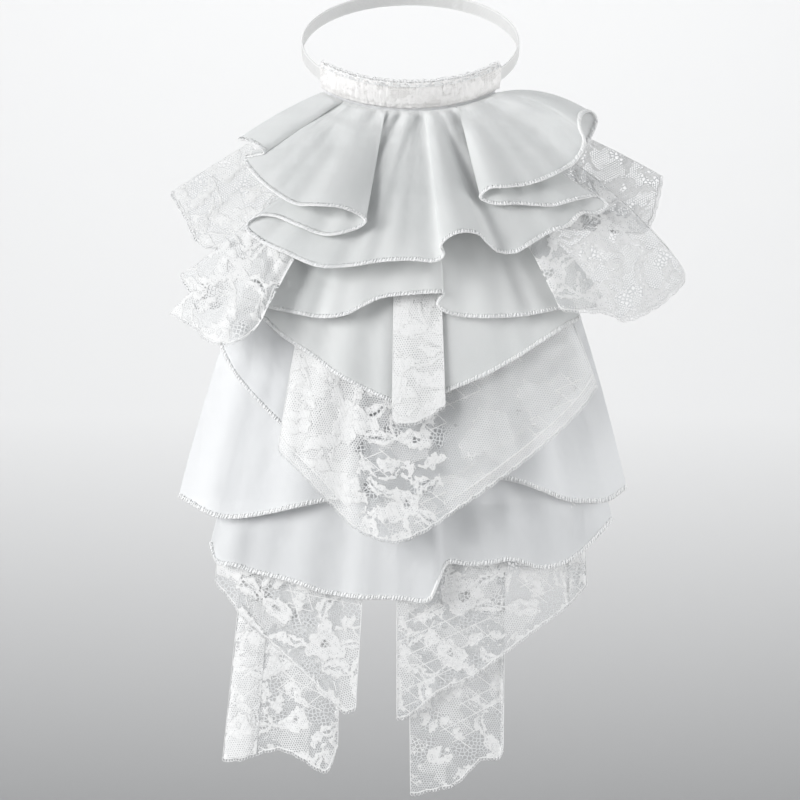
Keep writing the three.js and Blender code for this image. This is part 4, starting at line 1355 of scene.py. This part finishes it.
# %% Net ground and closed net
BORDER_WIDTH = 6.2
HALF_STITCH_GAIN = 0.4
CLOSED_NET_GAIN = 1.15
BORDER_NET_GAIN = 0.4
BORDER_SOFTNESS = 0.6
HALF_STITCH_SOFTNESS = 0.8
NET_SWAY = 0.0011
NET_SWAY_SCALE = 170.0
UNEVEN_SCALE = 160.0
UNEVEN_THREAD = (0.3, 0.7, 0.8, 1.15)
in_strip = ramp(lace_group, edge_at, BORDER_WIDTH - BORDER_SOFTNESS, BORDER_WIDTH, 1.0, 0.0)
border = both(lace_group, in_strip, has_border)
half_stitch = but_not(lace_group, inside(lace_group, half_at, HALF_STITCH_SOFTNESS), border)
closed_net = but_not(lace_group, lace_in.outputs["Closed"], border)
thread_noise = noise_of(lace_group, lace_flat, UNEVEN_SCALE)
thread_gain = ramp(lace_group, thread_noise.outputs["Fac"], *UNEVEN_THREAD)
NET_GAINS = [(half_stitch, HALF_STITCH_GAIN), (closed_net, CLOSED_NET_GAIN), (border, BORDER_NET_GAIN)]
for mask, gain in NET_GAINS:
    thread_gain = math_node(lace_group, "MULTIPLY_ADD", mask, gain, thread_gain)
sway_noise = noise_of(lace_group, lace_flat, NET_SWAY_SCALE)
sway = vector_node(lace_group, "SUBTRACT", sway_noise.outputs["Color"], (0.5, 0.5, 0.5))
sway = vector_node(lace_group, "MULTIPLY", sway, (NET_SWAY, NET_SWAY, 0.0))
ground = use_group(lace_group, net_group, {
    "Flat Cut": vector_node(lace_group, "ADD", lace_flat, sway),
    "Cell": lace_in.outputs["Cell"],
    "Thread": math_node(lace_group, "MULTIPLY", lace_in.outputs["Thread"], thread_gain),
})

# %% Round holes between thin bars
HOLE_RANDOMNESS = 0.75
HOLE_BAR = (0.10, 0.19)
EYE_SOFTNESS = 0.2
HOLES_SOFTNESS = 0.3
holes = lace_group.nodes.new("ShaderNodeTexVoronoi")
holes.voronoi_dimensions = "2D"
holes.feature = "DISTANCE_TO_EDGE"
lace_group.links.new(lace_in.outputs["Holes Per Metre"], holes.inputs["Scale"])
holes.inputs["Randomness"].default_value = HOLE_RANDOMNESS
lace_group.links.new(lace_flat, holes.inputs["Vector"])
hole_bars = ramp(lace_group, holes.outputs["Distance"], *HOLE_BAR, 1.0, 0.0)
in_eye = inside(lace_group, eyes_at, EYE_SOFTNESS)
open_work = either_of(lace_group, inside(lace_group, holes_at, HOLES_SOFTNESS), in_eye)

# %% Clothwork and its outlines
CLOTHWORK_COVER = (0.70, 0.97)
CLOTHWORK_SCALE = 260.0
CLOTHWORK_LEVELS = (0.35, 0.6)
FLOWER_SOFTNESS = 0.25
# Of each line: where it runs, its half width where it is full, and its half width in all.
PETAL_RIM = (-0.6, 0.45, 0.9)
OUTLINE = (-0.15, 0.2, 0.5)
HALF_STITCH_OUTLINE = (0.0, 0.12, 0.4)
in_flower = inside(lace_group, flower_at, FLOWER_SOFTNESS)
petal_rim = both(lace_group, near_line(lace_group, flower_at, *PETAL_RIM), in_flower)
clothwork_noise = noise_of(lace_group, lace_flat, CLOTHWORK_SCALE)
thickness = ramp(lace_group, clothwork_noise.outputs["Fac"], *CLOTHWORK_LEVELS, *CLOTHWORK_COVER)
petal_body = math_node(lace_group, "MULTIPLY", in_flower, thickness)
petal = but_not(lace_group, either_of(lace_group, petal_rim, petal_body), in_eye)
outline = near_line(lace_group, flower_at, *OUTLINE)
half_outline = near_line(lace_group, half_at, *HALF_STITCH_OUTLINE)
cord_lines = but_not(lace_group, either_of(lace_group, outline, half_outline), in_eye)
flat_at = separated(lace_group, lace_flat)

# %% Crossed threads
CROSS_PITCH = 12.0
CROSS_SLOPE = 0.62
CROSS_THREAD = (0.025, 0.05)
CROSS_SOFTNESS = 0.4


def crossed_line(sign):
    """Slanting threads, all one way. sign: 1 or -1."""
    slid = math_node(lace_group, "MULTIPLY_ADD", flat_at["X"], sign * CROSS_SLOPE, flat_at["Y"])
    turns = math_node(lace_group, "MULTIPLY", slid, PER_METRE / CROSS_PITCH)
    off = math_node(lace_group, "PINGPONG", turns, 0.5)
    return ramp(lace_group, off, *CROSS_THREAD, 1.0, 0.0)


crossed_in = inside(lace_group, lace_in.outputs["Crossed"], CROSS_SOFTNESS)
crossed = both(lace_group, crossed_in, either_of(lace_group, crossed_line(1), crossed_line(-1)))

# %% Edge, cover and colour share
HALF_STITCH_DENSE = 0.55
CLOSED_DENSE = 0.9
RIM_WIDTHS = (0.5, 0.9)
CHAIN_WIDTHS = (0.4, 0.8)
rim = ramp(lace_group, edge_at, *RIM_WIDTHS, 1.0, 0.0)
chain = both(lace_group, near_line(lace_group, edge_at, BORDER_WIDTH, *CHAIN_WIDTHS), has_border)
ground_cover = but_not(lace_group, ground.outputs["Thread Cover"], open_work)
hole_cover = both(lace_group, hole_bars, open_work)
lines = but_not(lace_group, either_of(lace_group, cord_lines, crossed), border)
firm = either_of(lace_group, but_not(lace_group, petal, border), lines, rim, chain)
lace_cover = either_of(lace_group, ground_cover, hole_cover, firm)
lace_group.links.new(lace_cover, lace_out.inputs["Cover"])
half_dense = math_node(lace_group, "MULTIPLY", half_stitch, HALF_STITCH_DENSE)
closed_dense = math_node(lace_group, "MULTIPLY", either_of(lace_group, closed_net, border), CLOSED_DENSE)
lace_group.links.new(either_of(lace_group, firm, half_dense, closed_dense), lace_out.inputs["Dense"])

# %% Height of the threads
CLOTHWORK_PITCH = 0.9
CREASE_WIDTH = (0.2, 1.2)
RIB_HEIGHT = 0.14
BODY_HEIGHT = 0.5
LINE_HEIGHT = 0.9
THREAD_HEIGHT = 0.3
rib_turns = math_node(lace_group, "MULTIPLY", flat_at["X"], PER_METRE * TURN / CLOTHWORK_PITCH)
ribs = math_node(lace_group, "SINE", rib_turns)
rib_height = math_node(lace_group, "MULTIPLY", both(lace_group, ribs, petal), RIB_HEIGHT)
crease_line = ramp(lace_group, lace_in.outputs["Crease"], *CREASE_WIDTH, 1.0, 0.0)
body_height = math_node(lace_group, "MULTIPLY", but_not(lace_group, petal, crease_line), BODY_HEIGHT)
line_height = math_node(lace_group, "MULTIPLY", either_of(lace_group, lines, rim, chain), LINE_HEIGHT)
fine_threads = either_of(lace_group, ground.outputs["Height"], hole_bars)
thread_height = math_node(lace_group, "MULTIPLY", fine_threads, THREAD_HEIGHT)
relief = either_of(lace_group, line_height, body_height, thread_height)
lace_group.links.new(math_node(lace_group, "ADD", relief, rib_height), lace_out.inputs["Height"])
print("nodes in the lace:", len(lace_group.nodes))

# %% Materials of the hanging lace and of the band
FIELD_SOCKETS = ("Flower", "Crease", "Holes", "Eyes", "Half Stitch", "Crossed", "Edge", "Border", "Closed")
# The core seen through the sleeve's open work: the padding's colour, painted darker as the shade in its
# holes.
BAND_CORE_AND_SHADE_COLOR = (0.73, 0.715, 0.70, 1)
NET_CELL = 1.6
NET_THREAD = 0.38
HOLE_PITCH = 2.5
NET_RELIEF = 0.45
LACE_BUMP_STRENGTH = 0.8


def field(tree, name):
    """A value that the mesh holds at each of its points."""
    node = tree.nodes.new("ShaderNodeAttribute")
    node.attribute_name = name
    return node.outputs["Fac"]


def lace_material(name, net_color, clothwork_color, cell=NET_CELL, thread=NET_THREAD,
                  hole_pitch=HOLE_PITCH, relief_mm=NET_RELIEF, core=None):
    """Lace with real holes, or, where a core colour is given, a padded core behind them painted darker as the
    shade in its holes.
    """
    material, tree, shader = start_material(name)
    values = {socket: field(tree, socket.lower().replace(" ", "_")) for socket in FIELD_SOCKETS}
    values["Flat Cut"] = flat_map(tree)
    values["Cell"] = cell
    values["Thread"] = thread
    values["Holes Per Metre"] = PER_METRE / hole_pitch
    lace = use_group(tree, lace_group, values)
    color = mixed(tree, "RGBA", lace.outputs["Dense"], net_color, clothwork_color)
    if core:
        color = mixed(tree, "RGBA", lace.outputs["Cover"], core, color)
    else:
        tree.links.new(lace.outputs["Cover"], shader.inputs["Alpha"])
    tree.links.new(color, shader.inputs["Base Color"])
    dress_threads(shader, roughness=0.75, sheen=0.05, specular=0.25)
    add_bump(tree, shader, lace.outputs["Height"], LACE_BUMP_STRENGTH, relief_mm)
    return material


hanging_lace = lace_material("hanging_lace", (0.76, 0.77, 0.775, 1), (0.92, 0.92, 0.915, 1))
# The shoulder laces are darker copies of the hanging lace: painted shade on lace that catches the strongest
# light.
upper_lace_white = lace_material("upper_lace_white", (0.69, 0.70, 0.705, 1), (0.84, 0.84, 0.835, 1))
side_lace_white = lace_material("side_lace_white", (0.73, 0.74, 0.745, 1), (0.88, 0.88, 0.875, 1))
band_sleeve_lace = lace_material(
    "band_sleeve_lace", (0.94, 0.927, 0.915, 1), (0.965, 0.95, 0.94, 1),
    cell=1.5, thread=0.8, hole_pitch=1.35, relief_mm=0.24, core=BAND_CORE_AND_SHADE_COLOR,
)
print("net holes:", NET_CELL, "mm wide, between threads of", NET_THREAD, "mm")

# %% [markdown]
# ## Lace layers
# Lace is cut from the roll with its scalloped edge as the hem. The scallops are in the mesh, the
# dense parts of the pattern stand a little proud of the net, and a corded edge with tiny loops,
# called picots, runs along the hem. Three of the hanging pieces are folded double at a side. The
# lace at the shoulders is painted a little darker than the others, as painted shade: it stands in
# the strongest light, with nothing dark behind it.

# %% Scallops and flat cut
SCALLOP_PITCH = 10.5
SCALLOP_DEPTH = 1.2
SCALLOP_FADE = 9
SCALLOP_MEAN = 0.6
LEAST_SLANT = 0.35
SLANT_SPAN = 9


def scalloped(cloth):
    """The hem pushed out into rounded scallops."""
    grid = cloth.grid.copy()
    along = cloth.flat[:, 0, 0]
    lobe = np.sqrt(np.abs(np.sin(math.pi * along / SCALLOP_PITCH))) - SCALLOP_MEAN
    outward = unit(grid[:, -1] - grid[:, -4])
    weight = np.clip(1 - cloth.flat[..., 1] / SCALLOP_FADE, 0, 1) ** 2
    grid += outward[:, None] * (weight * lobe[:, None] * SCALLOP_DEPTH)[..., None]
    return Cloth(grid, cloth.flat)


def edge_field(cloth):
    """Distance square to the hem, where the columns run down to it at a slant."""
    grid = cloth.grid
    down = unit(grid[:, -1] - grid[:, -4])
    side = unit(np.gradient(grid[:, -1], axis=0))
    slant = np.linalg.norm(np.cross(down, side), axis=-1)
    kernel = np.ones(SLANT_SPAN) / SLANT_SPAN
    slant = np.convolve(np.pad(slant, SLANT_SPAN // 2, mode="edge"), kernel, mode="valid")
    return cloth.flat[..., 1] * np.maximum(LEAST_SLANT, slant)[:, None]


def roll_flat(cloth, turn, shift):
    """Flat cut of lace that hangs without gathers: as seen from the front, turned on the roll."""
    a, b = turned(cloth.grid[..., 0], cloth.grid[..., 2], turn)
    return np.stack([a + shift[0], b + shift[1]], axis=-1)


# %% Sides folded double
FOLD_ROUNDING = 4
FOLD_OVERHANG = 0.25


def doubled(values, fold):
    """Columns of a folded piece, with those that are turned over in front of the first."""
    values = values[::-1] if fold.at_end else values
    return np.concatenate([values[1:fold.columns + 1][::-1], values])


def fold_over(grid, fold):
    """The last columns of a side, turned back over the front as a pressed fold."""
    grid = doubled(grid, fold)
    first = fold.columns
    lift = fold.gap * smooth(np.arange(first, 0, -1) / FOLD_ROUNDING)
    grid[:first, :, 1] -= lift[:, None]
    grid[:first, :, 0] += FOLD_OVERHANG * (grid[first] - grid[first + 1])[None, :, 0]
    return grid


# %% Corded edge and picots
PICOT_PITCH = 2.2
PICOT_CORNERS = 7
PICOT_REACH = 2.0
PICOT_LEAN = 0.45
PICOT_THREAD = 0.24
HEM_CORD = 0.24
CORD_SPACING = 1.2
SIDE_CORD = 0.25
SIDE_CORD_SPACING = 2.0


def lace_edging(name, cloth, cord=HEM_CORD):
    """A corded edge and a row of picots along the hem, and a cord down each cut side."""
    edge, _, _ = hem_line(cloth, CORD_SPACING)
    fine, fine_in, _ = hem_line(cloth, PICOT_PITCH / PICOT_CORNERS)
    turn = 2 * math.pi * np.arange(len(fine))[:, None] / PICOT_CORNERS
    forward = unit(np.gradient(fine, axis=0))
    out = fine_in * PICOT_REACH / 2 * (1 - np.cos(turn))
    loops = fine - out - forward * PICOT_REACH * PICOT_LEAN * np.sin(turn)
    lines = [(edge, cord, 5), (loops, PICOT_THREAD, 3)]
    for side in (cloth.grid[0], cloth.grid[-1]):
        lines.append((resample(side, SIDE_CORD_SPACING), SIDE_CORD, 4))
    return new_piece(name, [
        (*tube(line, (half, half), corners), hem_material) for line, half, corners in lines
    ])


# %% The lace pieces
Fold = namedtuple("Fold", "columns gap at_end closed")
LacePiece = namedtuple(
    "LacePiece",
    "node table turn shift sparse order flare gathers fold border closed lattice",
    defaults=(0, 1, None, None, None, None, None),
)
LACE_PIECES = [
    LacePiece("v_lace", V_LACE, -8, (20, 14), 0.3, flare=SIDE_FLARE, border=(12, 42), closed=(-26, -44),
              gathers=Gathers(0.3, (6, 9), 40, 0.9, (27, 41), 71)),
    LacePiece("centre_lace_tab", CENTRE_LACE_TAB, 4, (46, 30), 0, closed=(60, 30)),
    LacePiece("upper_lace", UPPER_LACE, 25, (8, 40), 1, lattice=(-150, -118, 22),
              gathers=Gathers(0.4, (5, 8), 30, 1.0, (17, 27), 73)),
    LacePiece("side_lace", SIDE_LACE, -15, (52, 60), 0.4,
              gathers=Gathers(0.4, (4, 7), 30, 1.2, (19, 31, 43), 75)),
    LacePiece("left_wide_lace", LEFT_WIDE_LACE, -42, (30, 8), 0.6, order=1),
    LacePiece("right_wide_lace", RIGHT_WIDE_LACE, -8, (12, 30), 1.2, order=1,
              fold=Fold(16, 0.7, True, 0.2), lattice=(14, -392, 27)),
    LacePiece("left_long_tail", LEFT_LONG_TAIL, 8, (40, 20), 0.6, order=2,
              fold=Fold(22, 0.7, False, 0.75), lattice=(-72, -412, 22)),
    LacePiece("right_long_tail", RIGHT_LONG_TAIL, -6, (66, 50), 3.0, order=2,
              fold=Fold(4, 0.5, True, 0.5)),
]
LACE_SPACING = 1.15
FIRST_GUESS_LENGTH = 30
SPARE_ROWS = 8


def cut_lace(lace):
    """The lace as hung, with as many rows as its longest column needs."""
    longest = FIRST_GUESS_LENGTH
    for _ in range(2):
        rows = int(longest / LACE_SPACING) + SPARE_ROWS
        if lace.order:
            cloth = hang_tail(lace.table, lace.order, LACE_SPACING, rows)
        else:
            cloth = hang_layer(lace.node, lace.table, LACE_SPACING, rows, lace.flare, lace.gathers)
        longest = cloth.flat[..., 1].max()
    return cloth


print("lace pieces:", len(LACE_PIECES), "of which folded:", sum(bool(lace.fold) for lace in LACE_PIECES))

# %% How the pattern lies in each piece
PLAIN_NET_GAIN = 9
BORDER_CLOSING = 0.6
SIDE_CLOSING = 0.45
SIDE_CLOSING_SPAN = 60
SHOULDER_HOLES_LESS = 2.2
THINNING_DEPTH = 0.8
HALF_STITCH_THINNING = 3


def folded_double(lace, grid, cut, edge):
    """Grid, cut and distance to the hem with one side turned over, where the piece has a fold."""
    if not lace.fold:
        return grid, cut, edge
    cut = doubled(cut, lace.fold)
    cut[:lace.fold.columns] += (REPEAT_WIDTH / 2, 0)
    return fold_over(grid, lace.fold), cut, doubled(edge, lace.fold)


def span(x, limits):
    """A soft step across the cloth, from nought at the first limit to one at the second."""
    return smooth((x - limits[0]) / (limits[1] - limits[0]))


def without(fields, names, share):
    """Takes parts of the pattern out of the cloth where the share is one."""
    for name in names:
        fields[name] = fields[name] + PLAIN_NET_GAIN * share


def thin_out(fields, cut, sparse):
    """Draws in flowers and half stitch, more in some places than in others."""
    thinning = smooth(0.5 + THINNING_DEPTH * waves(cut[..., 0] + 0.7 * cut[..., 1], (37, 61), 101)
                      * waves(cut[..., 1] - 0.5 * cut[..., 0], (43, 71), 103))
    fields["flower"] = fields["flower"] + sparse * thinning
    fields["half_stitch"] = fields["half_stitch"] + HALF_STITCH_THINNING * sparse * thinning


# %% Fields of one piece
def piece_fields(lace, grid, cut, edge):
    """The repeat's fields over one piece, with its border, closed net and crossed threads."""
    x = grid[..., 0]
    fields = lace_fields(cut)
    fields["edge"] = edge
    fields["border"] = np.zeros_like(edge)
    fields["closed"] = np.zeros_like(edge)
    thin_out(fields, cut, lace.sparse)
    if lace.node in ("upper_lace", "side_lace"):
        fields["holes"] = fields["holes"] + SHOULDER_HOLES_LESS
    if lace.node == "side_lace":
        fields["closed"] = SIDE_CLOSING * smooth(0.5 - x / SIDE_CLOSING_SPAN)
        fields["crossed"] = np.full_like(edge, FAR)
    if lace.fold:
        fields["closed"][:lace.fold.columns] = lace.fold.closed
    if lace.closed:
        fields["closed"] = span(x, lace.closed)
        without(fields, ("holes", "eyes"), fields["closed"])
    if lace.lattice:
        middle_x, middle_z, radius = lace.lattice
        from_middle = np.hypot(x - middle_x, grid[..., 2] - middle_z)
        fields["crossed"] = np.minimum(fields["crossed"], from_middle - radius)
    if lace.border:
        border_share = span(x, lace.border)
        without(fields, ("flower", "holes", "eyes"), border_share)
        fields["border"] = np.maximum(border_share, fields["closed"])
        fields["closed"] = np.maximum(fields["closed"], BORDER_CLOSING * fields["border"])
    return fields


# %% Hang the lace
LACE_RELIEF = 0.3
RELIEF_FADE = 5
# The shoulder laces take their darker copies, painted shade; all others take the hanging lace.
SHADED_LACES = {"upper_lace": upper_lace_white, "side_lace": side_lace_white}


for lace in LACE_PIECES:
    hung = scalloped(cut_lace(lace))
    picots = lace_edging(lace.node + "_picots", hung)
    flat_cut = roll_flat(hung, lace.turn, lace.shift)
    lace_grid, flat_cut, hem_distance = folded_double(lace, hung.grid, flat_cut, edge_field(hung))
    fields = piece_fields(lace, lace_grid, flat_cut, hem_distance)
    proud = smooth(0.5 - fields["flower"]) * LACE_RELIEF * smooth(hem_distance / RELIEF_FADE)
    raised = Cloth(lace_grid + surface_normals(lace_grid) * proud[..., None], flat_cut)
    lace_piece = cloth_piece(lace.node + "_cloth", raised, SHADED_LACES.get(lace.node, hanging_lace))
    add_fields(lace_piece, fields)
    declare_sheet(lace.node)

# %% [markdown]
# ## Neckband
# The band is a soft core in a sleeve of the same lace, gathered along it, so its front is all small
# puckers, pinched in by the stitching near both edges. The lace stands up above the top seam as a
# narrow frill with loops. A plain tube would look moulded, so the puckers are a sum of many waves
# across the band, folded so that the valleys are sharp and the tops round.

# %% Puckers
PUCKER_WAVES = (5, 15)
PUCKER_COUNT = 28
PUCKER_LEAN = 0.3


def puckers(along, around, seed, count=PUCKER_COUNT):
    """Irregular folds across the band: sharp in the valleys, round on top, about 0 to 2 high."""
    random = np.random.default_rng(seed)
    total = np.zeros(np.broadcast(along, around).shape)
    for _ in range(count):
        wavelength = random.uniform(*PUCKER_WAVES)
        lean = random.uniform(-PUCKER_LEAN, PUCKER_LEAN)
        start = random.uniform(0, 2 * math.pi)
        total += np.sin(2 * math.pi * (along / wavelength + around * lean) + start)
    return np.abs(total / math.sqrt(count))


# %% Section of the band, rounded at its ends
BAND_STATIONS = 440
BAND_CORNERS = 44
BAND_SQUARENESS = (0.55, 0.7)
BAND_EDGE_INSET = 0.15
END_ROUNDING = 2.0
END_LOWERING = 0.14
END_THINNING = 0.75
band_end = math.asin(BAND_HALF_LENGTH / NECK_HALF_WIDTH)
band_angles = np.linspace(-band_end, band_end, BAND_STATIONS)
band_along = distance_along(neck_point(band_angles, BAND_THICKNESS / 2, 0))
band_length = band_along[-1]
section_out, section_up = [part[None, :] for part in soft_box(BAND_CORNERS, *BAND_SQUARENESS)]
to_end = np.minimum(band_along, band_length - band_along)
end_round = np.sqrt(1 - np.clip(1 - to_end / END_ROUNDING, 0, 1) ** 2)[:, None]
half_up = (BAND_HEIGHT / 2 - BAND_EDGE_INSET) * (1 - END_LOWERING * (1 - end_round))
band_up = half_up * section_up
band_out = BAND_THICKNESS / 2 * (1 + section_out * (1 - END_THINNING * (1 - end_round)))
print("band:", round(band_length), "mm long")

# %% Puckers, pinched lines and the lapped end
PUCKER_DEPTH = 0.42
PUCKER_MEANS = (0.9, 0.8)
FINE_PUCKER_DEPTH = 0.14
FINE_PUCKER_RATE = 2.1
PINCH_AT = 7.2
PINCH_DEPTH = 0.5
PINCH_WIDTH = 0.8
SEAM_NOTCH_X = 20
NOTCH_DEPTH = 0.7
NOTCH_RISE = 0.8
NOTCH_RUN = 6
GROOVE_WIDTH = 0.5
NOTCH_FOOT = -2
NOTCH_FADE = 8
FRONT_SHARE = 0.35
along_column = band_along[:, None]
height = PUCKER_DEPTH * (puckers(along_column, band_up, 5) - PUCKER_MEANS[0])
fine_puckers = puckers(FINE_PUCKER_RATE * along_column, band_up, 8)
height += FINE_PUCKER_DEPTH * (fine_puckers - PUCKER_MEANS[1])
height -= PINCH_DEPTH * np.exp(-((np.abs(band_up) - PINCH_AT) / PINCH_WIDTH) ** 2)

# The sleeve's end is lapped over at one place: a step up with a fine groove before it.
notch_off = (NECK_HALF_WIDTH * np.sin(band_angles) - SEAM_NOTCH_X)[:, None]
step_up = smooth(notch_off / NOTCH_RISE) * np.exp(-np.maximum(0, notch_off) / NOTCH_RUN)
groove = np.exp(-(notch_off / GROOVE_WIDTH) ** 2)
height += NOTCH_DEPTH * (step_up - groove) * smooth((band_up - NOTCH_FOOT) / NOTCH_FADE)

height *= smooth(section_out + FRONT_SHARE) * end_round
print("puckers:", round(float(np.ptp(height)), 1), "mm from valley to top")

# %% Puckered sleeve
PUCKER_SLIP = 0.45
BAND_GATHERED = 1.25
SLEEVE_UP_GAIN = 1.15
SLEEVE_OUT_GAIN = 12
band_out = band_out + height * section_out
band_up = band_up + PUCKER_SLIP * height * section_up
band_grid = neck_point(band_angles[:, None], band_out, band_up)
band_flat = np.stack(np.broadcast_arrays(
    along_column * BAND_GATHERED,
    band_up * SLEEVE_UP_GAIN + SLEEVE_OUT_GAIN * section_out,
), axis=-1)
band_faces = tube_faces(BAND_STATIONS, BAND_CORNERS)
band_piece = new_piece("neck_band_sleeve", [(band_grid, band_faces, band_sleeve_lace)])
add_flat_map(band_piece, band_flat)
print("triangles in the sleeve:", 2 * len(band_faces))

# %% Lace on the sleeve
BAND_SPECKS = 13
SPECK_GAIN = 3
SPECKS_FOOT = -5
SPECKS_FADE = 9
BAND_PLAINNESS = 5
NO_EDGE = 99.0
band_fields = lace_fields(band_flat)
band_s = band_flat[..., 0]
band_t = band_flat[..., 1]
# Specks of open work, thickest in the upper part, where the core shows through in its painted-shade grey.
specks = waves(band_s + band_t, (7, 19), 83) * waves(band_s - band_t, (6, 17), 85)
upper_part = smooth((band_up - SPECKS_FOOT) / SPECKS_FADE)
band_fields["holes"] = band_fields["holes"] - BAND_SPECKS * upper_part * smooth(SPECK_GAIN * specks)
band_fields["crossed"] = np.full_like(band_s, FAR)
band_fields["half_stitch"] = band_fields["half_stitch"] + BAND_PLAINNESS
band_fields["edge"] = np.full_like(band_s, NO_EDGE)
band_fields["border"] = np.zeros_like(band_s)
add_fields(band_piece, band_fields)
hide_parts("neck_band")
print("specks of open work on the sleeve:", f"{(band_fields['holes'] < 0).mean():.0%} of it")

# %% Frill above the top seam
FRILL_STEP = 0.5
FRILL_ROWS = 7
FRILL_FOOT = 7.6
FRILL_HEIGHT = 2.4
FRILL_DEPTH = 0.8
FRILL_LENGTH_GAIN = 1.6
FRILL_FOOT_OUT = 4.9
FRILL_LEAN = 1.5
FRILL_END = 0.985
FRILL_TIP_DEPTH = 0.5
FRILL_SHIFT = (9, 33)
FRILL_CORD = 0.22
frill_count = int(band_length / FRILL_STEP)
frill_angles = np.linspace(-band_end * FRILL_END, band_end * FRILL_END, frill_count)
frill_along = np.linspace(0, band_length, frill_count)
frill_share = np.linspace(0, 1, FRILL_ROWS)[None, :]
frill_wave = waves(frill_along, (4.1, 6.3, 9.7), 91)[:, None]
frill_tip = FRILL_TIP_DEPTH * waves(frill_along, (5.2, 13), 93)[:, None]
frill_out = FRILL_FOOT_OUT - FRILL_LEAN * frill_share + FRILL_DEPTH * frill_wave * frill_share
frill_up = FRILL_FOOT + (FRILL_HEIGHT + frill_tip) * frill_share
frill_grid = neck_point(frill_angles[:, None], frill_out, frill_up)
frill_flat = np.stack(np.broadcast_arrays(
    frill_along[:, None] * FRILL_LENGTH_GAIN,
    FRILL_HEIGHT * (1 - frill_share),
), axis=-1)
frill = Cloth(frill_grid, frill_flat)
frill_piece = cloth_piece("neck_band_frill", frill, hanging_lace)
frill_fields = lace_fields(frill_flat + FRILL_SHIFT)
frill_fields["edge"] = frill_flat[..., 1]
frill_fields["border"] = np.zeros(frill_flat.shape[:-1])
add_fields(frill_piece, frill_fields)
frill_loops = lace_edging("neck_band_loops", frill, cord=FRILL_CORD)
for part in (frill_piece, frill_loops):
    part.parent = band_piece
print("frill:", frill_count, "columns")

# %% [markdown]
# ## Elastic strap
# The strap is a flat woven elastic. Rubber cords run along it under a cross weave, so it shows fine
# lengthwise ribs between two firmer, brighter edges. The grooves between the ribs are painted
# darker, as painted shade.

# %% Elastic material
STRAP_WIDTH = 10
RIB_PITCH = 1.0
RIB_SHARE = 0.7
RIB_LEVELS = (-0.6, 0.4)
GROOVE_SHADE_COLOR = (0.84, 0.84, 0.83, 1)
RIB_COLOR = (0.92, 0.92, 0.91, 1)
SELVEDGE_COLOR = (0.97, 0.97, 0.96, 1)
SELVEDGE_FROM = 1.4
SELVEDGE_FULL = 0.9
ELASTIC_BUMP_STRENGTH = 0.6
ELASTIC_RELIEF = 0.25
elastic_material, elastic_tree, elastic_shader = start_material("woven_elastic")
elastic_flat = flat_map(elastic_tree)
elastic_weave = use_group(elastic_tree, weave_group, {"Flat Cut": elastic_flat, "Thread Pitch": RIB_PITCH})
across_strap = separated(elastic_tree, elastic_flat)["Y"]
cord_turns = math_node(elastic_tree, "MULTIPLY", across_strap, PER_METRE * TURN / RIB_PITCH)
cords = math_node(elastic_tree, "COSINE", cord_turns)
elastic_height = math_node(elastic_tree, "MULTIPLY_ADD", cords, RIB_SHARE, elastic_weave.outputs["Height"])
add_bump(elastic_tree, elastic_shader, elastic_height, ELASTIC_BUMP_STRENGTH, ELASTIC_RELIEF)
edge_off = math_node(elastic_tree, "ABSOLUTE", across_strap)
selvedge_limits = [(STRAP_WIDTH / 2 - inset) * MM for inset in (SELVEDGE_FROM, SELVEDGE_FULL)]
selvedge = ramp(elastic_tree, edge_off, *selvedge_limits)
# Ribs in their thread colour, with the grooves between them painted darker as painted shade.
groove_shaded_ribs = mixed(elastic_tree, "RGBA", ramp(elastic_tree, cords, *RIB_LEVELS), GROOVE_SHADE_COLOR, RIB_COLOR)
elastic_color = mixed(elastic_tree, "RGBA", selvedge, groove_shaded_ribs, SELVEDGE_COLOR)
elastic_tree.links.new(elastic_color, elastic_shader.inputs["Base Color"])
dress_threads(elastic_shader, roughness=0.6, sheen=0.2)
print("cords in the elastic:", round(STRAP_WIDTH / RIB_PITCH))

# %% Elastic round the back of the neck
STRAP_THICKNESS = 1.2
STRAP_STATIONS = 320
STRAP_CORNERS = 28
STRAP_SQUARENESS = (0.5, 0.35)
STRAP_RIPPLE = 0.12
strap_end = band_end + TOUCH_GAP / NECK_HALF_DEPTH
strap_angles = np.linspace(strap_end, 2 * math.pi - strap_end, STRAP_STATIONS)
strap_out, strap_up = [part[None, :] for part in soft_box(STRAP_CORNERS, *STRAP_SQUARENESS)]
strap_along = distance_along(neck_point(strap_angles, BAND_THICKNESS / 2, 0))
strap_ripple = STRAP_RIPPLE * waves(strap_along, (7, 11, 19), 97)[:, None]
strap_grid = neck_point(
    strap_angles[:, None],
    BAND_THICKNESS / 2 + STRAP_THICKNESS / 2 * strap_out + strap_ripple,
    STRAP_WIDTH / 2 * strap_up,
)
strap_flat = np.stack(np.broadcast_arrays(strap_along[:, None], STRAP_WIDTH / 2 * strap_up), axis=-1)
strap_faces = tube_faces(STRAP_STATIONS, STRAP_CORNERS)
strap_piece = new_piece("elastic_strap_woven", [(strap_grid, strap_faces, elastic_material)])
add_flat_map(strap_piece, strap_flat)
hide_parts("elastic_strap")
print("strap:", round(strap_along[-1]), "mm; whole loop:", round(strap_along[-1] + band_length), "mm")

# %% Measure and finish
triangles = {piece.name: sum(len(face.vertices) - 2 for face in piece.data.polygons)
             for piece in bpy.context.scene.objects
             if piece.type == "MESH" and piece.name.rsplit("_", 1)[-1] in
             ("cloth", "overlock", "picots", "sleeve", "frill", "loops", "woven")}
print("triangles:", sum(triangles.values()), "most in one piece:", max(triangles.values()))
